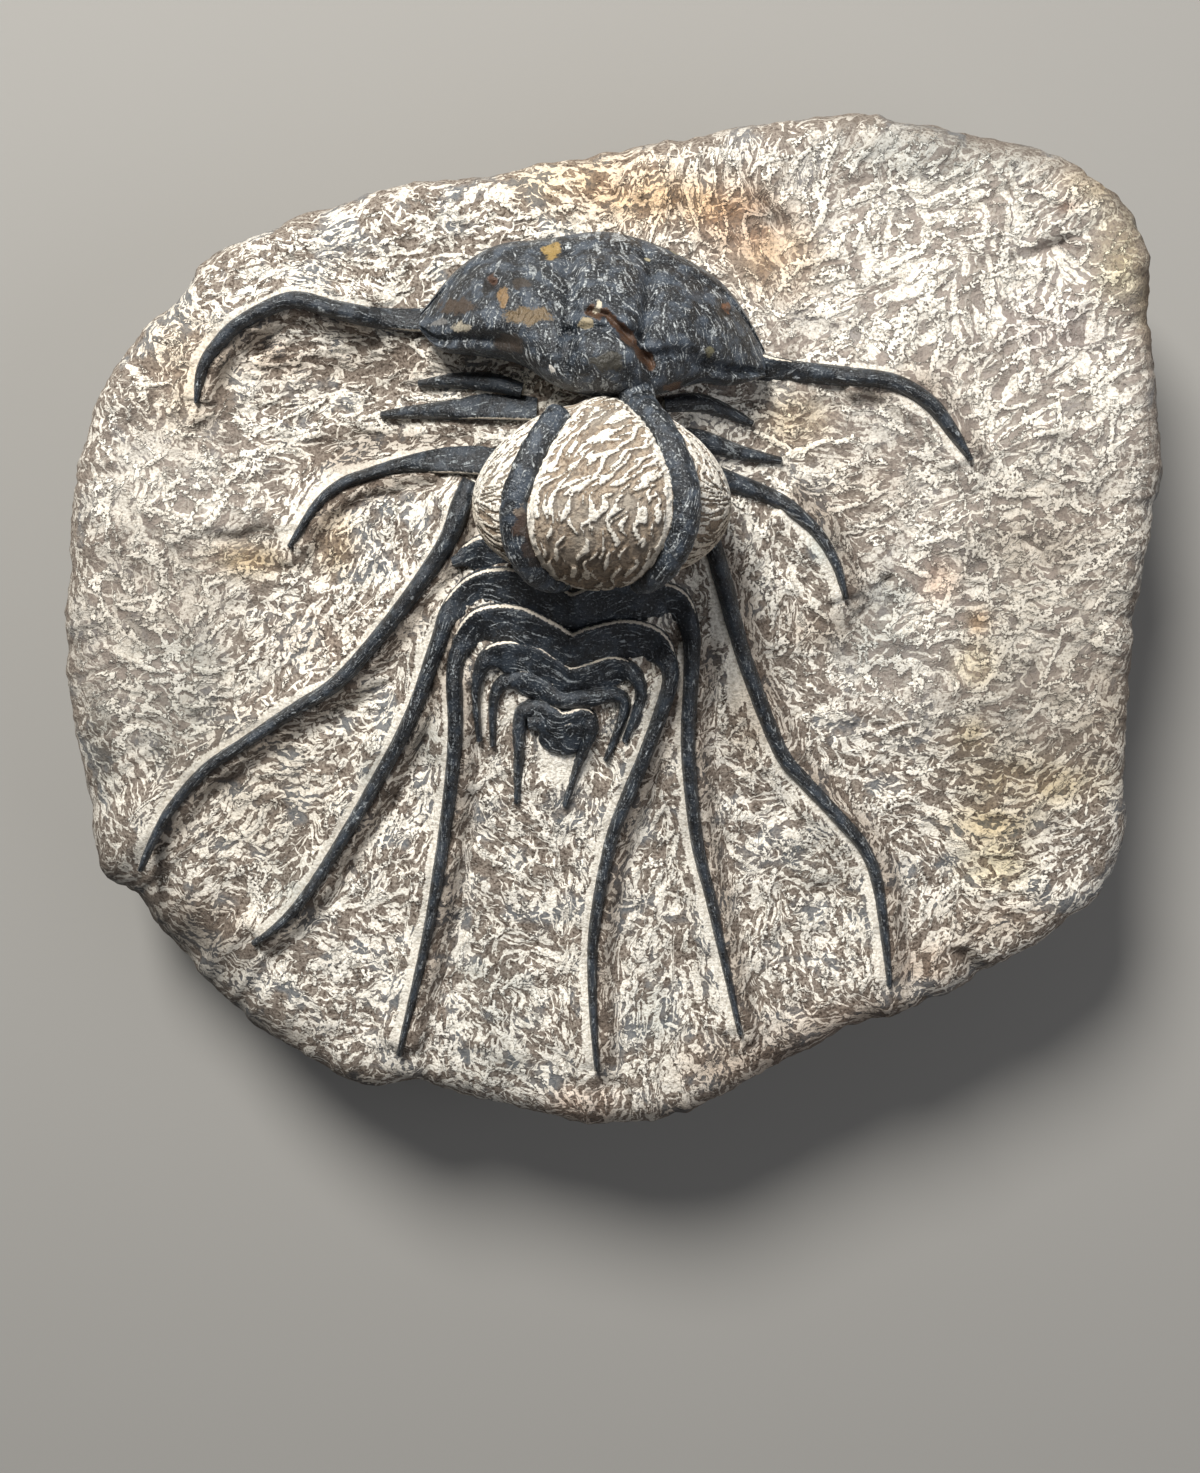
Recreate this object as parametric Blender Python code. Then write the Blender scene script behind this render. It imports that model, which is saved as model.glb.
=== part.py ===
"""A horned trilobite, Dicranurus monstrosus, in its prepared block of limestone.

The block lies on its flat back. X runs to the right of the face, Y towards the animal's head and Z out of
the face. The origin is in the middle of the block's underside. Sizes below are in millimetres.
"""

import math

import bmesh
import bpy
from mathutils import Vector, noise
from mathutils.bvhtree import BVHTree

MM = 0.001
GAP = 0.45
SHARP_ANGLE = math.radians(62)

# The finishes: a matt buff limestone, and blue-black fossil shell with a dull sheen
LIMESTONE_COLOUR = (0.46, 0.40, 0.33)
LIMESTONE_ROUGHNESS = 0.85
SHELL_COLOUR = (0.035, 0.042, 0.055)
SHELL_ROUGHNESS = 0.45

# The block: its outline as seen from above, its thickness, and the grid that its faces are cut into
THICKNESS = 34.0
OUTLINE = [
    (-61, 47), (-53, 54.5), (-38, 60.5), (-25, 63.5), (-6, 66.5), (13.5, 70), (26, 72), (38, 72.5),
    (54, 69), (64, 66), (70, 62), (74, 56), (75.5, 46), (77.5, 33), (78, 25), (77, 15), (75.5, -2),
    (75.3, -17), (75.5, -26), (73, -36), (66, -43), (55.5, -49.5), (46, -54.5), (35, -58), (23.5, -64.5),
    (11.5, -71), (4, -72.5), (-5, -72.3), (-18, -69), (-28, -66.2), (-36, -67), (-45, -63), (-57, -55),
    (-66.5, -46.5), (-72, -39.5), (-75.5, -37.5), (-77, -29), (-78, -13.5), (-77.5, 3.5), (-75, 22),
    (-72.5, 32.5), (-67, 41),
]
GRID_CENTRE = (-2.0, 20.0)
SECTORS = 56
RINGS = 12
EDGE_TURNS = (0.35, 0.7, 1.0)
EDGE_DROP = 6.0
EDGE_INSET = 6.0
CORNER_DROP = 17.0
CORNER_INSET = 20.0
CORNER_ANGLE = math.radians(219)
CORNER_SPREAD = math.radians(16)
WALL_FOOT = 8.0
WALL_INSET = 2.0
BACK_INSET = 7.0
LUMP_HEIGHT = 0.9
LUMP_SIZE = 13.0

# The relief of the face, each a round swell or hollow: x, y, reach along x, reach along y, height
SWELLS = [
    (-2, 12, 27, 30, 8.0),
    (0, 0, 62, 55, 2.5),
    (-1, 36, 17, 9, 5.0),
    (-34, 33.5, 17, 9, -4.0),
    (21, 30, 8, 5, -1.5),
]

# The ball of rock between the horns, a little wider towards the tail, and the neck that carries it
BALL_CENTRE = (-0.3, 22.8, THICKNESS + 18.0)
BALL_RADII = (17.2, 12.4, 14.5)
BALL_TAPER = 0.13
BALL_SEGMENTS = 20
BALL_RINGS = 12
NECK_CENTRE = (-0.3, 25.5, THICKNESS + 8.0)
NECK_RADII = (12.5, 9.5, 11.0)
NECK_SEGMENTS = 14
NECK_RINGS = 8
CHIP_DEPTH = 0.03

# Paths of the spines and bands, each place as x, y, width, height above the rock
SEGMENT_1_LEFT = [
    (-11, 35.8, 2.0, 2.2), (-15, 36.8, 2.6, 2.2), (-20, 37.0, 2.2, 1.8), (-25.5, 36.6, 1.0, 1.0),
]
SEGMENT_2_LEFT = [
    (-9, 33.4, 3.4, 2.2), (-16, 33.6, 3.6, 2.2), (-22, 33, 2.6, 1.8), (-27, 32.7, 1.8, 1.4),
    (-31, 32.3, 1.0, 1.0),
]
SEGMENT_3_LEFT = [
    (-12, 26, 3.8, 2.4), (-17.5, 26.4, 4.0, 2.2), (-22.5, 26.3, 3.4, 2.0), (-27.7, 25.7, 2.2, 1.7),
    (-32.6, 24.3, 1.8, 1.5), (-36.2, 23, 1.7, 1.4), (-39.8, 20, 1.4, 1.2), (-43.5, 14.5, 0.9, 1.0),
]
SEGMENT_4_LEFT = [
    (-18, 23.8, 2.6, 1.8), (-19.4, 20.5, 2.9, 2.0), (-21.6, 15.2, 2.6, 1.9), (-28, 6.2, 2.3, 1.8),
    (-36.6, -3.7, 2.2, 1.7), (-43.1, -8.1, 2.0, 1.6), (-50.6, -13.1, 1.8, 1.5), (-56.7, -17.3, 1.7, 1.4),
    (-62.5, -24, 1.5, 1.3), (-66.6, -32, 0.9, 1.0),
]
SEGMENT_1_RIGHT = [(8, 34, 2.2, 2.0), (12, 34.2, 2.6, 2.0), (15.5, 33.3, 2.2, 1.8), (20, 31.3, 1.0, 1.0)]
SEGMENT_2_RIGHT = [(9, 29.8, 2.6, 2.0), (13, 29.2, 2.8, 2.0), (18, 27.5, 2.2, 1.7), (24, 26.3, 1.0, 1.0)]
SEGMENT_3_RIGHT = [
    (13, 25, 3.2, 2.2), (18, 23.2, 2.8, 2.0), (23.7, 21, 2.2, 1.7), (26.5, 19, 2.0, 1.6),
    (29.5, 16, 1.7, 1.4), (31.8, 12, 1.4, 1.2), (33.2, 7.5, 0.9, 1.0),
]
SEGMENT_4_RIGHT = [
    (14.2, 16.5, 2.6, 2.0), (16.3, 9.5, 2.6, 2.0), (19.2, -0.5, 2.3, 1.8), (24.3, -13.3, 2.2, 1.7),
    (27.6, -17.8, 2.1, 1.6), (33.3, -23.9, 2.0, 1.5), (37, -28.5, 1.9, 1.4), (39.2, -34.8, 1.7, 1.3),
    (41.2, -49, 0.9, 1.0),
]
SEGMENT_5 = [
    (-50.9, -43.2, 0.9, 1.0), (-42.4, -34.9, 1.6, 1.4), (-28.6, -12.3, 2.1, 1.7), (-23.1, 0.9, 2.4, 1.9),
    (-20.9, 6.3, 3.0, 2.1), (-17.3, 9.6, 4.0, 2.3), (-13, 10.3, 4.4, 2.4), (-8.7, 9.2, 4.4, 2.4),
    (-4.6, 7.2, 4.2, 2.8), (-0.6, 8.4, 4.2, 2.6), (5.5, 8.8, 4.2, 2.4), (9.8, 7.8, 3.6, 2.2),
    (11.7, 3.6, 2.7, 2.0), (11.8, -2.5, 2.3, 1.8), (11.6, -13.4, 2.1, 1.7), (13, -26.5, 1.9, 1.5),
    (15.4, -36.8, 1.6, 1.4), (19.7, -56.2, 0.9, 1.0),
]
SEGMENT_5_FRONT = [
    (-20.6, 12.9, 1.6, 1.3), (-16.5, 14.4, 4.6, 1.7), (-12.5, 14.3, 5.2, 1.7), (-8, 13.2, 5.2, 1.7),
]
SEGMENT_6 = [
    (-30.1, -60, 0.9, 1.0), (-25.1, -39.5, 1.6, 1.4), (-21.9, -21.1, 2.0, 1.6), (-20.7, -11, 2.2, 1.7),
    (-20.6, -2.6, 2.5, 1.9), (-19.4, 2, 3.0, 2.1), (-16.6, 4.9, 4.2, 2.3), (-12.2, 5.2, 4.5, 2.4),
    (-8.1, 3.4, 4.5, 2.4), (-4.6, 1.7, 4.2, 2.7), (-1.8, 2.5, 4.3, 2.5), (3, 3.4, 4.3, 2.4),
    (6.8, 2.3, 3.8, 2.2), (8.7, -0.8, 2.8, 2.0), (8.7, -4.5, 2.3, 1.9), (5.8, -13.4, 2.1, 1.7),
    (3.6, -19.2, 2.1, 1.6), (0.9, -26.8, 1.9, 1.5), (-1.4, -39.4, 1.7, 1.4), (-1.8, -49.2, 1.4, 1.2),
    (-1.1, -61.9, 0.9, 1.0),
]
SEGMENT_7 = [
    (-17.5, -12.3, 0.9, 1.0), (-17.8, -5, 1.4, 1.3), (-16.5, -1, 2.6, 1.8), (-14.1, 0.5, 3.6, 2.0),
    (-10.2, 0.2, 3.8, 2.1), (-7.3, -1.4, 3.6, 2.2), (-4.8, -2.7, 3.2, 2.3), (-2, -2.1, 3.2, 2.2),
    (1.2, -1.3, 3.4, 2.0), (4.1, -2.4, 2.6, 1.8), (5, -5.6, 1.7, 1.5), (2.8, -12, 0.9, 1.0),
]
SEGMENT_8 = [
    (-15.6, -13, 0.9, 1.0), (-15.4, -6.6, 1.4, 1.3), (-14.2, -4.1, 2.2, 1.7), (-11.7, -3.3, 3.0, 1.9),
    (-8.9, -4.1, 3.1, 2.0), (-5.9, -6, 2.8, 2.1), (-2.3, -5.6, 2.8, 2.0), (1.2, -5.2, 2.5, 1.8),
    (2.8, -7.2, 1.6, 1.5), (0.2, -15, 0.9, 1.0),
]
PYGIDIUM = [
    (-12.4, -21.5, 0.9, 1.0), (-12, -15, 1.5, 1.3), (-11.8, -10.2, 2.0, 1.6), (-11, -7.9, 2.7, 1.8),
    (-8.7, -7.6, 3.0, 1.9), (-5.8, -9.2, 3.2, 2.1), (-2.8, -8.5, 3.2, 1.9), (-2.1, -10.6, 2.4, 1.7),
    (-3.6, -15.3, 1.4, 1.3), (-5.6, -21.6, 0.9, 1.0),
]
TAIL_PLATE = [(-10.6, -9.4, 2.6, 1.7), (-8.4, -9.4, 3.0, 1.8), (-5.7, -10.9, 3.8, 1.9), (-3, -9.8, 2.8, 1.7)]
LEFT_GENAL_SPINE = [
    (-19, 45.5, 5.0, 3.4), (-24, 45.1, 3.6, 2.8), (-30.8, 45.4, 2.9, 2.2), (-36.6, 46.5, 2.6, 2.0),
    (-42.5, 47.7, 2.4, 1.8), (-49.3, 44.8, 2.1, 1.6), (-52.6, 42, 2.0, 1.5), (-55, 38.6, 1.7, 1.3),
    (-56, 34, 0.9, 1.0),
]
RIGHT_GENAL_SPINE = [
    (14, 40.5, 5.6, 3.6), (20, 39, 4.2, 3.0), (24, 38.4, 3.2, 2.4), (32.5, 37.6, 2.7, 2.0),
    (39.1, 36.8, 2.4, 1.8), (44.1, 34, 2.2, 1.6), (47.2, 30.4, 1.9, 1.4), (50, 26.4, 0.9, 1.0),
]
PATHS = {
    "thorax_segment_1_left_end": SEGMENT_1_LEFT,
    "thorax_segment_1_right_end": SEGMENT_1_RIGHT,
    "thorax_segment_2_left_end": SEGMENT_2_LEFT,
    "thorax_segment_2_right_end": SEGMENT_2_RIGHT,
    "thorax_segment_3_left_end": SEGMENT_3_LEFT,
    "thorax_segment_3_right_end": SEGMENT_3_RIGHT,
    "thorax_segment_4_left_end": SEGMENT_4_LEFT,
    "thorax_segment_4_right_end": SEGMENT_4_RIGHT,
    "thorax_segment_5": SEGMENT_5,
    "thorax_segment_6": SEGMENT_6,
    "thorax_segment_7": SEGMENT_7,
    "thorax_segment_8": SEGMENT_8,
    "pygidium": PYGIDIUM,
}
SPINE_PATHS = [
    SEGMENT_4_LEFT, SEGMENT_5[:5], SEGMENT_6[:5], SEGMENT_6[-8:], SEGMENT_5[-6:], SEGMENT_4_RIGHT,
    SEGMENT_3_LEFT[2:], SEGMENT_3_RIGHT[2:], LEFT_GENAL_SPINE[2:], RIGHT_GENAL_SPINE[3:],
]
SECTION_SIDES = 6
DETAIL = 0.62

# The low bank of rock under each long spine
RIDGE_WIDTH = 6.4
RIDGE_TOP = 3.0
RIDGE_HEIGHT = 1.5
RIDGE_END_SHARE = 0.55
RIDGE_FOOT = 0.3
RIDGE_ROOT = 3.0
RIDGE_DETAIL = 0.36

# The head shield: its front and rear edges as seen from above, and heights above the block's face
HEAD_FRONT = [
    (-24.8, 45.9), (-20, 51.5), (-14.6, 54.8), (-8.3, 55.6), (-0.1, 56.6), (6.9, 54.9), (12, 52.4),
    (15.6, 50), (18.7, 46.3), (21.5, 41.2),
]
HEAD_REAR = [
    (-24.8, 43.9), (-21.8, 41), (-17, 40.3), (-11.3, 39.2), (-5.9, 36.3), (0, 35.1), (7, 35.4),
    (12.5, 36.7), (16.5, 36.4), (21.5, 37.6),
]
HEAD_MIDDLE = (HEAD_FRONT[0][0] + HEAD_FRONT[-1][0]) / 2
HEAD_HALF_WIDTH = (HEAD_FRONT[-1][0] - HEAD_FRONT[0][0]) / 2
HEAD_COLUMNS = 22
HEAD_ROWS = 8
HEAD_ROOT = 4.0
HEAD_CREST = 20.5
HEAD_TIP = 6.5
HEAD_CREST_FALL = 2.2
HEAD_CREST_SHARE = 0.37
HEAD_CREST_SKEW = 0.7
HEAD_ROUNDNESS = 0.65
HEAD_STEP = 0.5
HEAD_FRONT_EDGE = 4.0
HEAD_REAR_EDGE = 17.0
CHEEK_REAR_EDGE = 8.0
OCCIPITAL_HALF_WIDTH = 9.5
GLABELLA_HALF_WIDTH = 5.0
GLABELLA_RISE = 1.2
FURROW_X = 6.1
FURROW_WIDTH = 1.5
FURROW_DEPTH = 1.2
OCCIPITAL_FURROW_Y = 39.6
OCCIPITAL_FURROW_DEPTH = 0.9
OCCIPITAL_FURROW_HALF_WIDTH = 7.0

# The horns, which lie on the ball: how far they stand from its middle line, as an angle at its centre
HORN_WIDTH = 3.7
HORN_TIP_SHARE = 0.45
HORN_POINTS = 12
HORN_FIRST_TURN = {"left": -62.0, "right": -80.0}
HORN_LAST_TURN = 112.0
HORN_NEAREST = 15.0
HORN_BOW = 24.0
HORN_BOW_POWER = 1.3
HORN_LEAN = {"left": 8.0, "right": -5.0}
HORN_PROUD = 0.3
RIGHT_HORN_ROOT = (3.8, 38.6, THICKNESS + 17.0)


def finish(obj, colour, roughness):
    """Gives the object its own plain material, and shades what is round smooth."""
    made = bpy.data.materials.new(obj.name)
    made.use_nodes = True
    shader = made.node_tree.nodes["Principled BSDF"]
    shader.inputs["Base Color"].default_value = (*colour, 1)
    shader.inputs["Roughness"].default_value = roughness
    shader.inputs["Metallic"].default_value = 0
    made.diffuse_color = (*colour, 1)
    obj.data.materials.clear()
    obj.data.materials.append(made)
    obj.data.shade_smooth()
    obj.data.set_sharp_from_angle(angle=SHARP_ANGLE)


def blend(a, b, t):
    """The value at the share t of the way from a to b."""
    return a + (b - a) * t


def through(rows, detail, closed=False):
    """Rows along a smooth curve through the given ones, closer together where those are close."""
    count = len(rows)
    found = []
    for i in range(count if closed else count - 1):
        if closed:
            four = [rows[(i + k) % count] for k in (-1, 0, 1, 2)]
        else:
            four = [rows[max(i - 1, 0)], rows[i], rows[i + 1], rows[min(i + 2, count - 1)]]
        length = math.dist(four[1][:2], four[2][:2])
        steps = max(1, round(detail * math.sqrt(length)))
        for step in range(steps):
            t = step / steps
            weights = (
                0.5 * (-t + 2 * t * t - t ** 3),
                0.5 * (2 - 5 * t * t + 3 * t ** 3),
                0.5 * (t + 4 * t * t - 3 * t ** 3),
                0.5 * (-t * t + t ** 3),
            )
            found.append([sum(w * row[j] for w, row in zip(weights, four)) for j in range(len(rows[0]))])
    if not closed:
        found.append(list(rows[-1]))
    return found


def reach(outline, centre, angle):
    """How far the outline is from the centre in this direction."""
    dx, dy = math.cos(angle), math.sin(angle)
    best = 0.0
    for (ax, ay, *_), (bx, by, *_) in zip(outline, outline[1:] + outline[:1]):
        ex, ey = bx - ax, by - ay
        cross = dx * ey - dy * ex
        if abs(cross) < 1e-9:
            continue
        px, py = ax - centre[0], ay - centre[1]
        distance = (px * ey - py * ex) / cross
        along = (px * dy - py * dx) / cross
        if distance > 0 and -1e-9 <= along <= 1 + 1e-9:
            best = max(best, distance)
    return best


def relief(x, y):
    """Height of the rock's face at this place, above the face's own level."""
    height = sum(h * math.exp(-((x - cx) / rx) ** 2 - ((y - cy) / ry) ** 2) for cx, cy, rx, ry, h in SWELLS)
    lump = noise.noise(Vector((x, y, 0)) / LUMP_SIZE) + 0.5 * noise.noise(Vector((x, y, 40)) * 2 / LUMP_SIZE)
    return height + LUMP_HEIGHT * lump


def add_object(name, bm):
    """A new object from the mesh, with its faces outward and its sizes turned to metres."""
    bmesh.ops.recalc_face_normals(bm, faces=bm.faces)
    bmesh.ops.triangulate(bm, faces=bm.faces)
    bmesh.ops.scale(bm, vec=(MM, MM, MM), verts=bm.verts)
    mesh = bpy.data.meshes.new(name)
    bm.to_mesh(mesh)
    bm.free()
    obj = bpy.data.objects.new(name, mesh)
    bpy.context.scene.collection.objects.link(obj)
    return obj


def loft(bm, rings, cap=True):
    """Joins rings of points into one skin and closes both ends."""
    made = [[bm.verts.new(point) for point in ring] for ring in rings]
    for one, two in zip(made, made[1:]):
        for k in range(len(one)):
            after = (k + 1) % len(one)
            bm.faces.new((one[k], one[after], two[after], two[k]))
    if cap:
        bm.faces.new(made[0])
        bm.faces.new(made[-1])
    return made


def boolean(obj, other, operation):
    """Joins or cuts, and leaves a plain mesh with the largest body alone."""
    modifier = obj.modifiers.new(operation.lower(), "BOOLEAN")
    modifier.operation = operation
    modifier.object = other
    modifier.solver = "EXACT"
    bpy.context.view_layer.update()
    graph = bpy.context.evaluated_depsgraph_get()
    result = bpy.data.meshes.new_from_object(obj.evaluated_get(graph))
    obj.modifiers.clear()
    obj.data = result
    keep_largest(obj)


def keep_largest(obj):
    """Chips that a cut leaves beside a piece are removed."""
    bm = bmesh.new()
    bm.from_mesh(obj.data)
    bmesh.ops.remove_doubles(bm, verts=bm.verts, dist=1e-6)
    bodies = []
    unseen = set(bm.verts)
    while unseen:
        body = {unseen.pop()}
        edge = list(body)
        while edge:
            vertex = edge.pop()
            for link in vertex.link_edges:
                other = link.other_vert(vertex)
                if other in unseen:
                    unseen.discard(other)
                    body.add(other)
                    edge.append(other)
        bodies.append(body)
    bodies.sort(key=len)
    for body in bodies[:-1]:
        bmesh.ops.delete(bm, geom=list(body), context="VERTS")
    bmesh.ops.triangulate(bm, faces=bm.faces)
    bm.to_mesh(obj.data)
    bm.free()


def edge_share(angle):
    """How much of the broken lower left corner's deep bevel there is in this direction, from 0 to 1."""
    turn = math.atan2(math.sin(angle - CORNER_ANGLE), math.cos(angle - CORNER_ANGLE))
    return math.exp(-(turn / CORNER_SPREAD) ** 2)


def block(name, extra=0.0):
    """The block without its ball: a round-edged slab with a swelling face and a flat sawn back."""
    outline = through(OUTLINE, 1.0, closed=True)
    angles = [2 * math.pi * k / SECTORS for k in range(SECTORS)]
    reaches = [reach(outline, GRID_CENTRE, angle) + extra for angle in angles]
    level = THICKNESS + extra
    rings = []
    for ring in range(1, RINGS + 1):
        points = []
        for angle, radius in zip(angles, reaches):
            inset = blend(EDGE_INSET, CORNER_INSET, edge_share(angle))
            distance = (radius - inset) * ring / RINGS
            x = GRID_CENTRE[0] + distance * math.cos(angle)
            y = GRID_CENTRE[1] + distance * math.sin(angle)
            points.append((x, y, level + relief(x, y)))
        rings.append(points)
    for turn in EDGE_TURNS:
        points = []
        for angle, radius, (_, _, top) in zip(angles, reaches, rings[RINGS - 1]):
            share = edge_share(angle)
            inset = blend(EDGE_INSET, CORNER_INSET, share)
            drop = blend(EDGE_DROP, CORNER_DROP, share)
            distance = radius - inset * (1 - math.sin(turn * math.pi / 2))
            x = GRID_CENTRE[0] + distance * math.cos(angle)
            y = GRID_CENTRE[1] + distance * math.sin(angle)
            points.append((x, y, top - drop * (1 - math.cos(turn * math.pi / 2))))
        rings.append(points)
    for height, inset in ((WALL_FOOT, WALL_INSET), (0.0, BACK_INSET)):
        rings.append([
            (
                GRID_CENTRE[0] + (radius - inset) * math.cos(angle),
                GRID_CENTRE[1] + (radius - inset) * math.sin(angle),
                height,
            )
            for angle, radius in zip(angles, reaches)
        ])
    bm = bmesh.new()
    made = loft(bm, rings, cap=False)
    bm.faces.new(made[-1])
    middle = bm.verts.new((*GRID_CENTRE, level + relief(*GRID_CENTRE)))
    for k in range(SECTORS):
        bm.faces.new((made[0][k], made[0][(k + 1) % SECTORS], middle))
    return add_object(name, bm)


def knob(centre, radii, segments, rings, taper=0.0, extra=0.0):
    """A rounded lump of rock: the ball left standing between the horns, or the neck under it."""
    bm = bmesh.new()
    bmesh.ops.create_uvsphere(bm, u_segments=segments, v_segments=rings, radius=1.0)
    for vertex in bm.verts:
        lump = 1 + CHIP_DEPTH * noise.noise(vertex.co * 3)
        offset = Vector(a * (b * lump + extra) for a, b in zip(vertex.co, radii))
        offset.x *= 1 - taper * vertex.co.y
        vertex.co = Vector(centre) + offset
    return add_object("knob", bm)


class Ground:
    """The rock's surface, asked for its height at a place."""

    def __init__(self, obj):
        self.tree = BVHTree.FromPolygons(
            [vertex.co / MM for vertex in obj.data.vertices], [face.vertices[:] for face in obj.data.polygons]
        )

    def height(self, x, y):
        return self.tree.ray_cast(Vector((x, y, 2 * THICKNESS)), Vector((0, 0, -1)))[0].z


def heights_along(path, ground):
    """Heights of the rock below the path, evened out a little."""
    raw = [ground.height(x, y) for x, y, *_ in path]
    last = len(raw) - 1
    return [(raw[max(i - 1, 0)] + 2 * raw[i] + raw[min(i + 1, last)]) / 4 for i in range(len(raw))]


def sideways(path, i):
    """The direction across the path at one of its points."""
    ax, ay = path[max(i - 1, 0)][:2]
    bx, by = path[min(i + 1, len(path) - 1)][:2]
    length = math.hypot(bx - ax, by - ay)
    return (ay - by) / length, (bx - ax) / length


def strip(name, rows, ground):
    """A band or spine of shell along a path, half sunk in the rock until it is cut free."""
    path = through(rows, DETAIL)
    levels = heights_along(path, ground)
    rings = []
    for i, ((x, y, width, height), level) in enumerate(zip(path, levels)):
        sx, sy = sideways(path, i)
        ring = []
        for k in range(SECTION_SIDES):
            angle = 2 * math.pi * k / SECTION_SIDES
            across = math.cos(angle) * width / 2
            ring.append((x + sx * across, y + sy * across, level + math.sin(angle) * height))
        rings.append(ring)
    bm = bmesh.new()
    loft(bm, rings)
    return add_object(name, bm)


def ridge(rows, ground, extra=0.0):
    """A low bank of rock under a spine, left standing when the ground beside it was cleared."""
    path = through([row[:2] for row in rows], RIDGE_DETAIL)
    levels = heights_along(path, ground)
    rings = []
    for i, ((x, y), level) in enumerate(zip(path, levels)):
        sx, sy = sideways(path, i)
        height = RIDGE_HEIGHT * (RIDGE_END_SHARE if i in (0, len(path) - 1) else 1) + extra
        foot = RIDGE_WIDTH / 2 + extra
        section = (
            (-foot, extra - RIDGE_FOOT), (-RIDGE_TOP / 2, height), (RIDGE_TOP / 2, height),
            (foot, extra - RIDGE_FOOT), (foot, -RIDGE_ROOT), (-foot, -RIDGE_ROOT),
        )
        rings.append([(x + sx * across, y + sy * across, level + up) for across, up in section])
    bm = bmesh.new()
    loft(bm, rings)
    return add_object("ridge", bm)


def banked_block(name, extra=0.0):
    """The block with the banks that carry the spines, still without its ball."""
    stone = block(name, extra)
    face = block("face")
    ground = Ground(face)
    remove(face)
    for rows in SPINE_PATHS:
        bank = ridge(rows, ground, extra)
        boolean(stone, bank, "UNION")
        remove(bank)
    return stone


def add_ball(stone, extra=0.0):
    """The ball and its neck, made one with the block."""
    neck = knob(NECK_CENTRE, NECK_RADII, NECK_SEGMENTS, NECK_RINGS, extra=extra)
    ball = knob(BALL_CENTRE, BALL_RADII, BALL_SEGMENTS, BALL_RINGS, BALL_TAPER, extra)
    for piece in (neck, ball):
        boolean(stone, piece, "UNION")
        remove(piece)


def remove(obj):
    bpy.data.objects.remove(obj, do_unlink=True)


def horn_point(side, turn):
    """A place on the ball under a horn. The turn runs from the head, over the top, to the tail side."""
    lean = HORN_LEAN[side]
    bow = max(0.0, math.cos(math.radians(turn - lean))) ** HORN_BOW_POWER
    spread = math.radians(HORN_NEAREST + HORN_BOW * bow)
    angle = math.radians(turn)
    sign = 1 if side == "right" else -1
    direction = Vector((
        sign * math.sin(spread),
        -math.cos(spread) * math.sin(angle),
        math.cos(spread) * math.cos(angle),
    ))
    return Vector(BALL_CENTRE) + Vector(a * b for a, b in zip(direction, BALL_RADII)), direction


def horn(name, side, root=None):
    """A horn that curls back over the ball and under it, from a root in the head shield if it is unbroken."""
    turns = [blend(HORN_FIRST_TURN[side], HORN_LAST_TURN, i / (HORN_POINTS - 1)) for i in range(HORN_POINTS)]
    points = [horn_point(side, turn) for turn in turns]
    if root:
        points.insert(0, (Vector(root), Vector((0, 0.5, 1))))
    count = len(points)
    rings = []
    for i, (place, outward) in enumerate(points):
        ahead = points[min(i + 1, count - 1)][0] - points[max(i - 1, 0)][0]
        across = ahead.cross(outward).normalized()
        outward = across.cross(ahead).normalized()
        left_over = 1 - i / (count - 1)
        radius = HORN_WIDTH / 2 * min(1, HORN_TIP_SHARE + 2 * left_over)
        middle = place + outward * HORN_PROUD
        rings.append([
            middle + across * radius * math.cos(a) + outward * radius * math.sin(a)
            for a in (2 * math.pi * k / SECTION_SIDES for k in range(SECTION_SIDES))
        ])
    bm = bmesh.new()
    loft(bm, rings)
    return add_object(name, bm)


def edge_at(edge, x):
    """The y of an edge of the head shield at this x."""
    for (ax, ay), (bx, by) in zip(edge, edge[1:]):
        if x <= bx:
            return blend(ay, by, (x - ax) / (bx - ax))
    return edge[-1][1]


def head_height(x, y, share):
    """Height of the head shield. The share runs from 0 at its rear edge to 1 at its front edge."""
    aside = min(1.0, abs(x - HEAD_MIDDLE) / HEAD_HALF_WIDTH)
    crest = blend(HEAD_CREST, HEAD_TIP, aside ** HEAD_CREST_FALL)
    behind = blend(CHEEK_REAR_EDGE, HEAD_REAR_EDGE, math.exp(-(x / OCCIPITAL_HALF_WIDTH) ** 4))
    behind = min(behind, crest - HEAD_STEP)
    rise = max(0.0, math.sin(math.pi * share ** HEAD_CREST_SKEW)) ** HEAD_ROUNDNESS
    under_crest = blend(behind, HEAD_FRONT_EDGE, HEAD_CREST_SHARE)
    height = blend(behind, HEAD_FRONT_EDGE, share) + (crest - under_crest) * rise
    lobe = GLABELLA_RISE * math.exp(-(x / GLABELLA_HALF_WIDTH) ** 4)
    furrow = -FURROW_DEPTH * math.exp(-((abs(x) - FURROW_X) / FURROW_WIDTH) ** 2)
    middle = math.exp(-(x / OCCIPITAL_FURROW_HALF_WIDTH) ** 4)
    occipital = -OCCIPITAL_FURROW_DEPTH * math.exp(-(y - OCCIPITAL_FURROW_Y) ** 2) * middle
    return THICKNESS + height + (lobe + furrow + occipital) * math.sin(math.pi * share)


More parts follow.
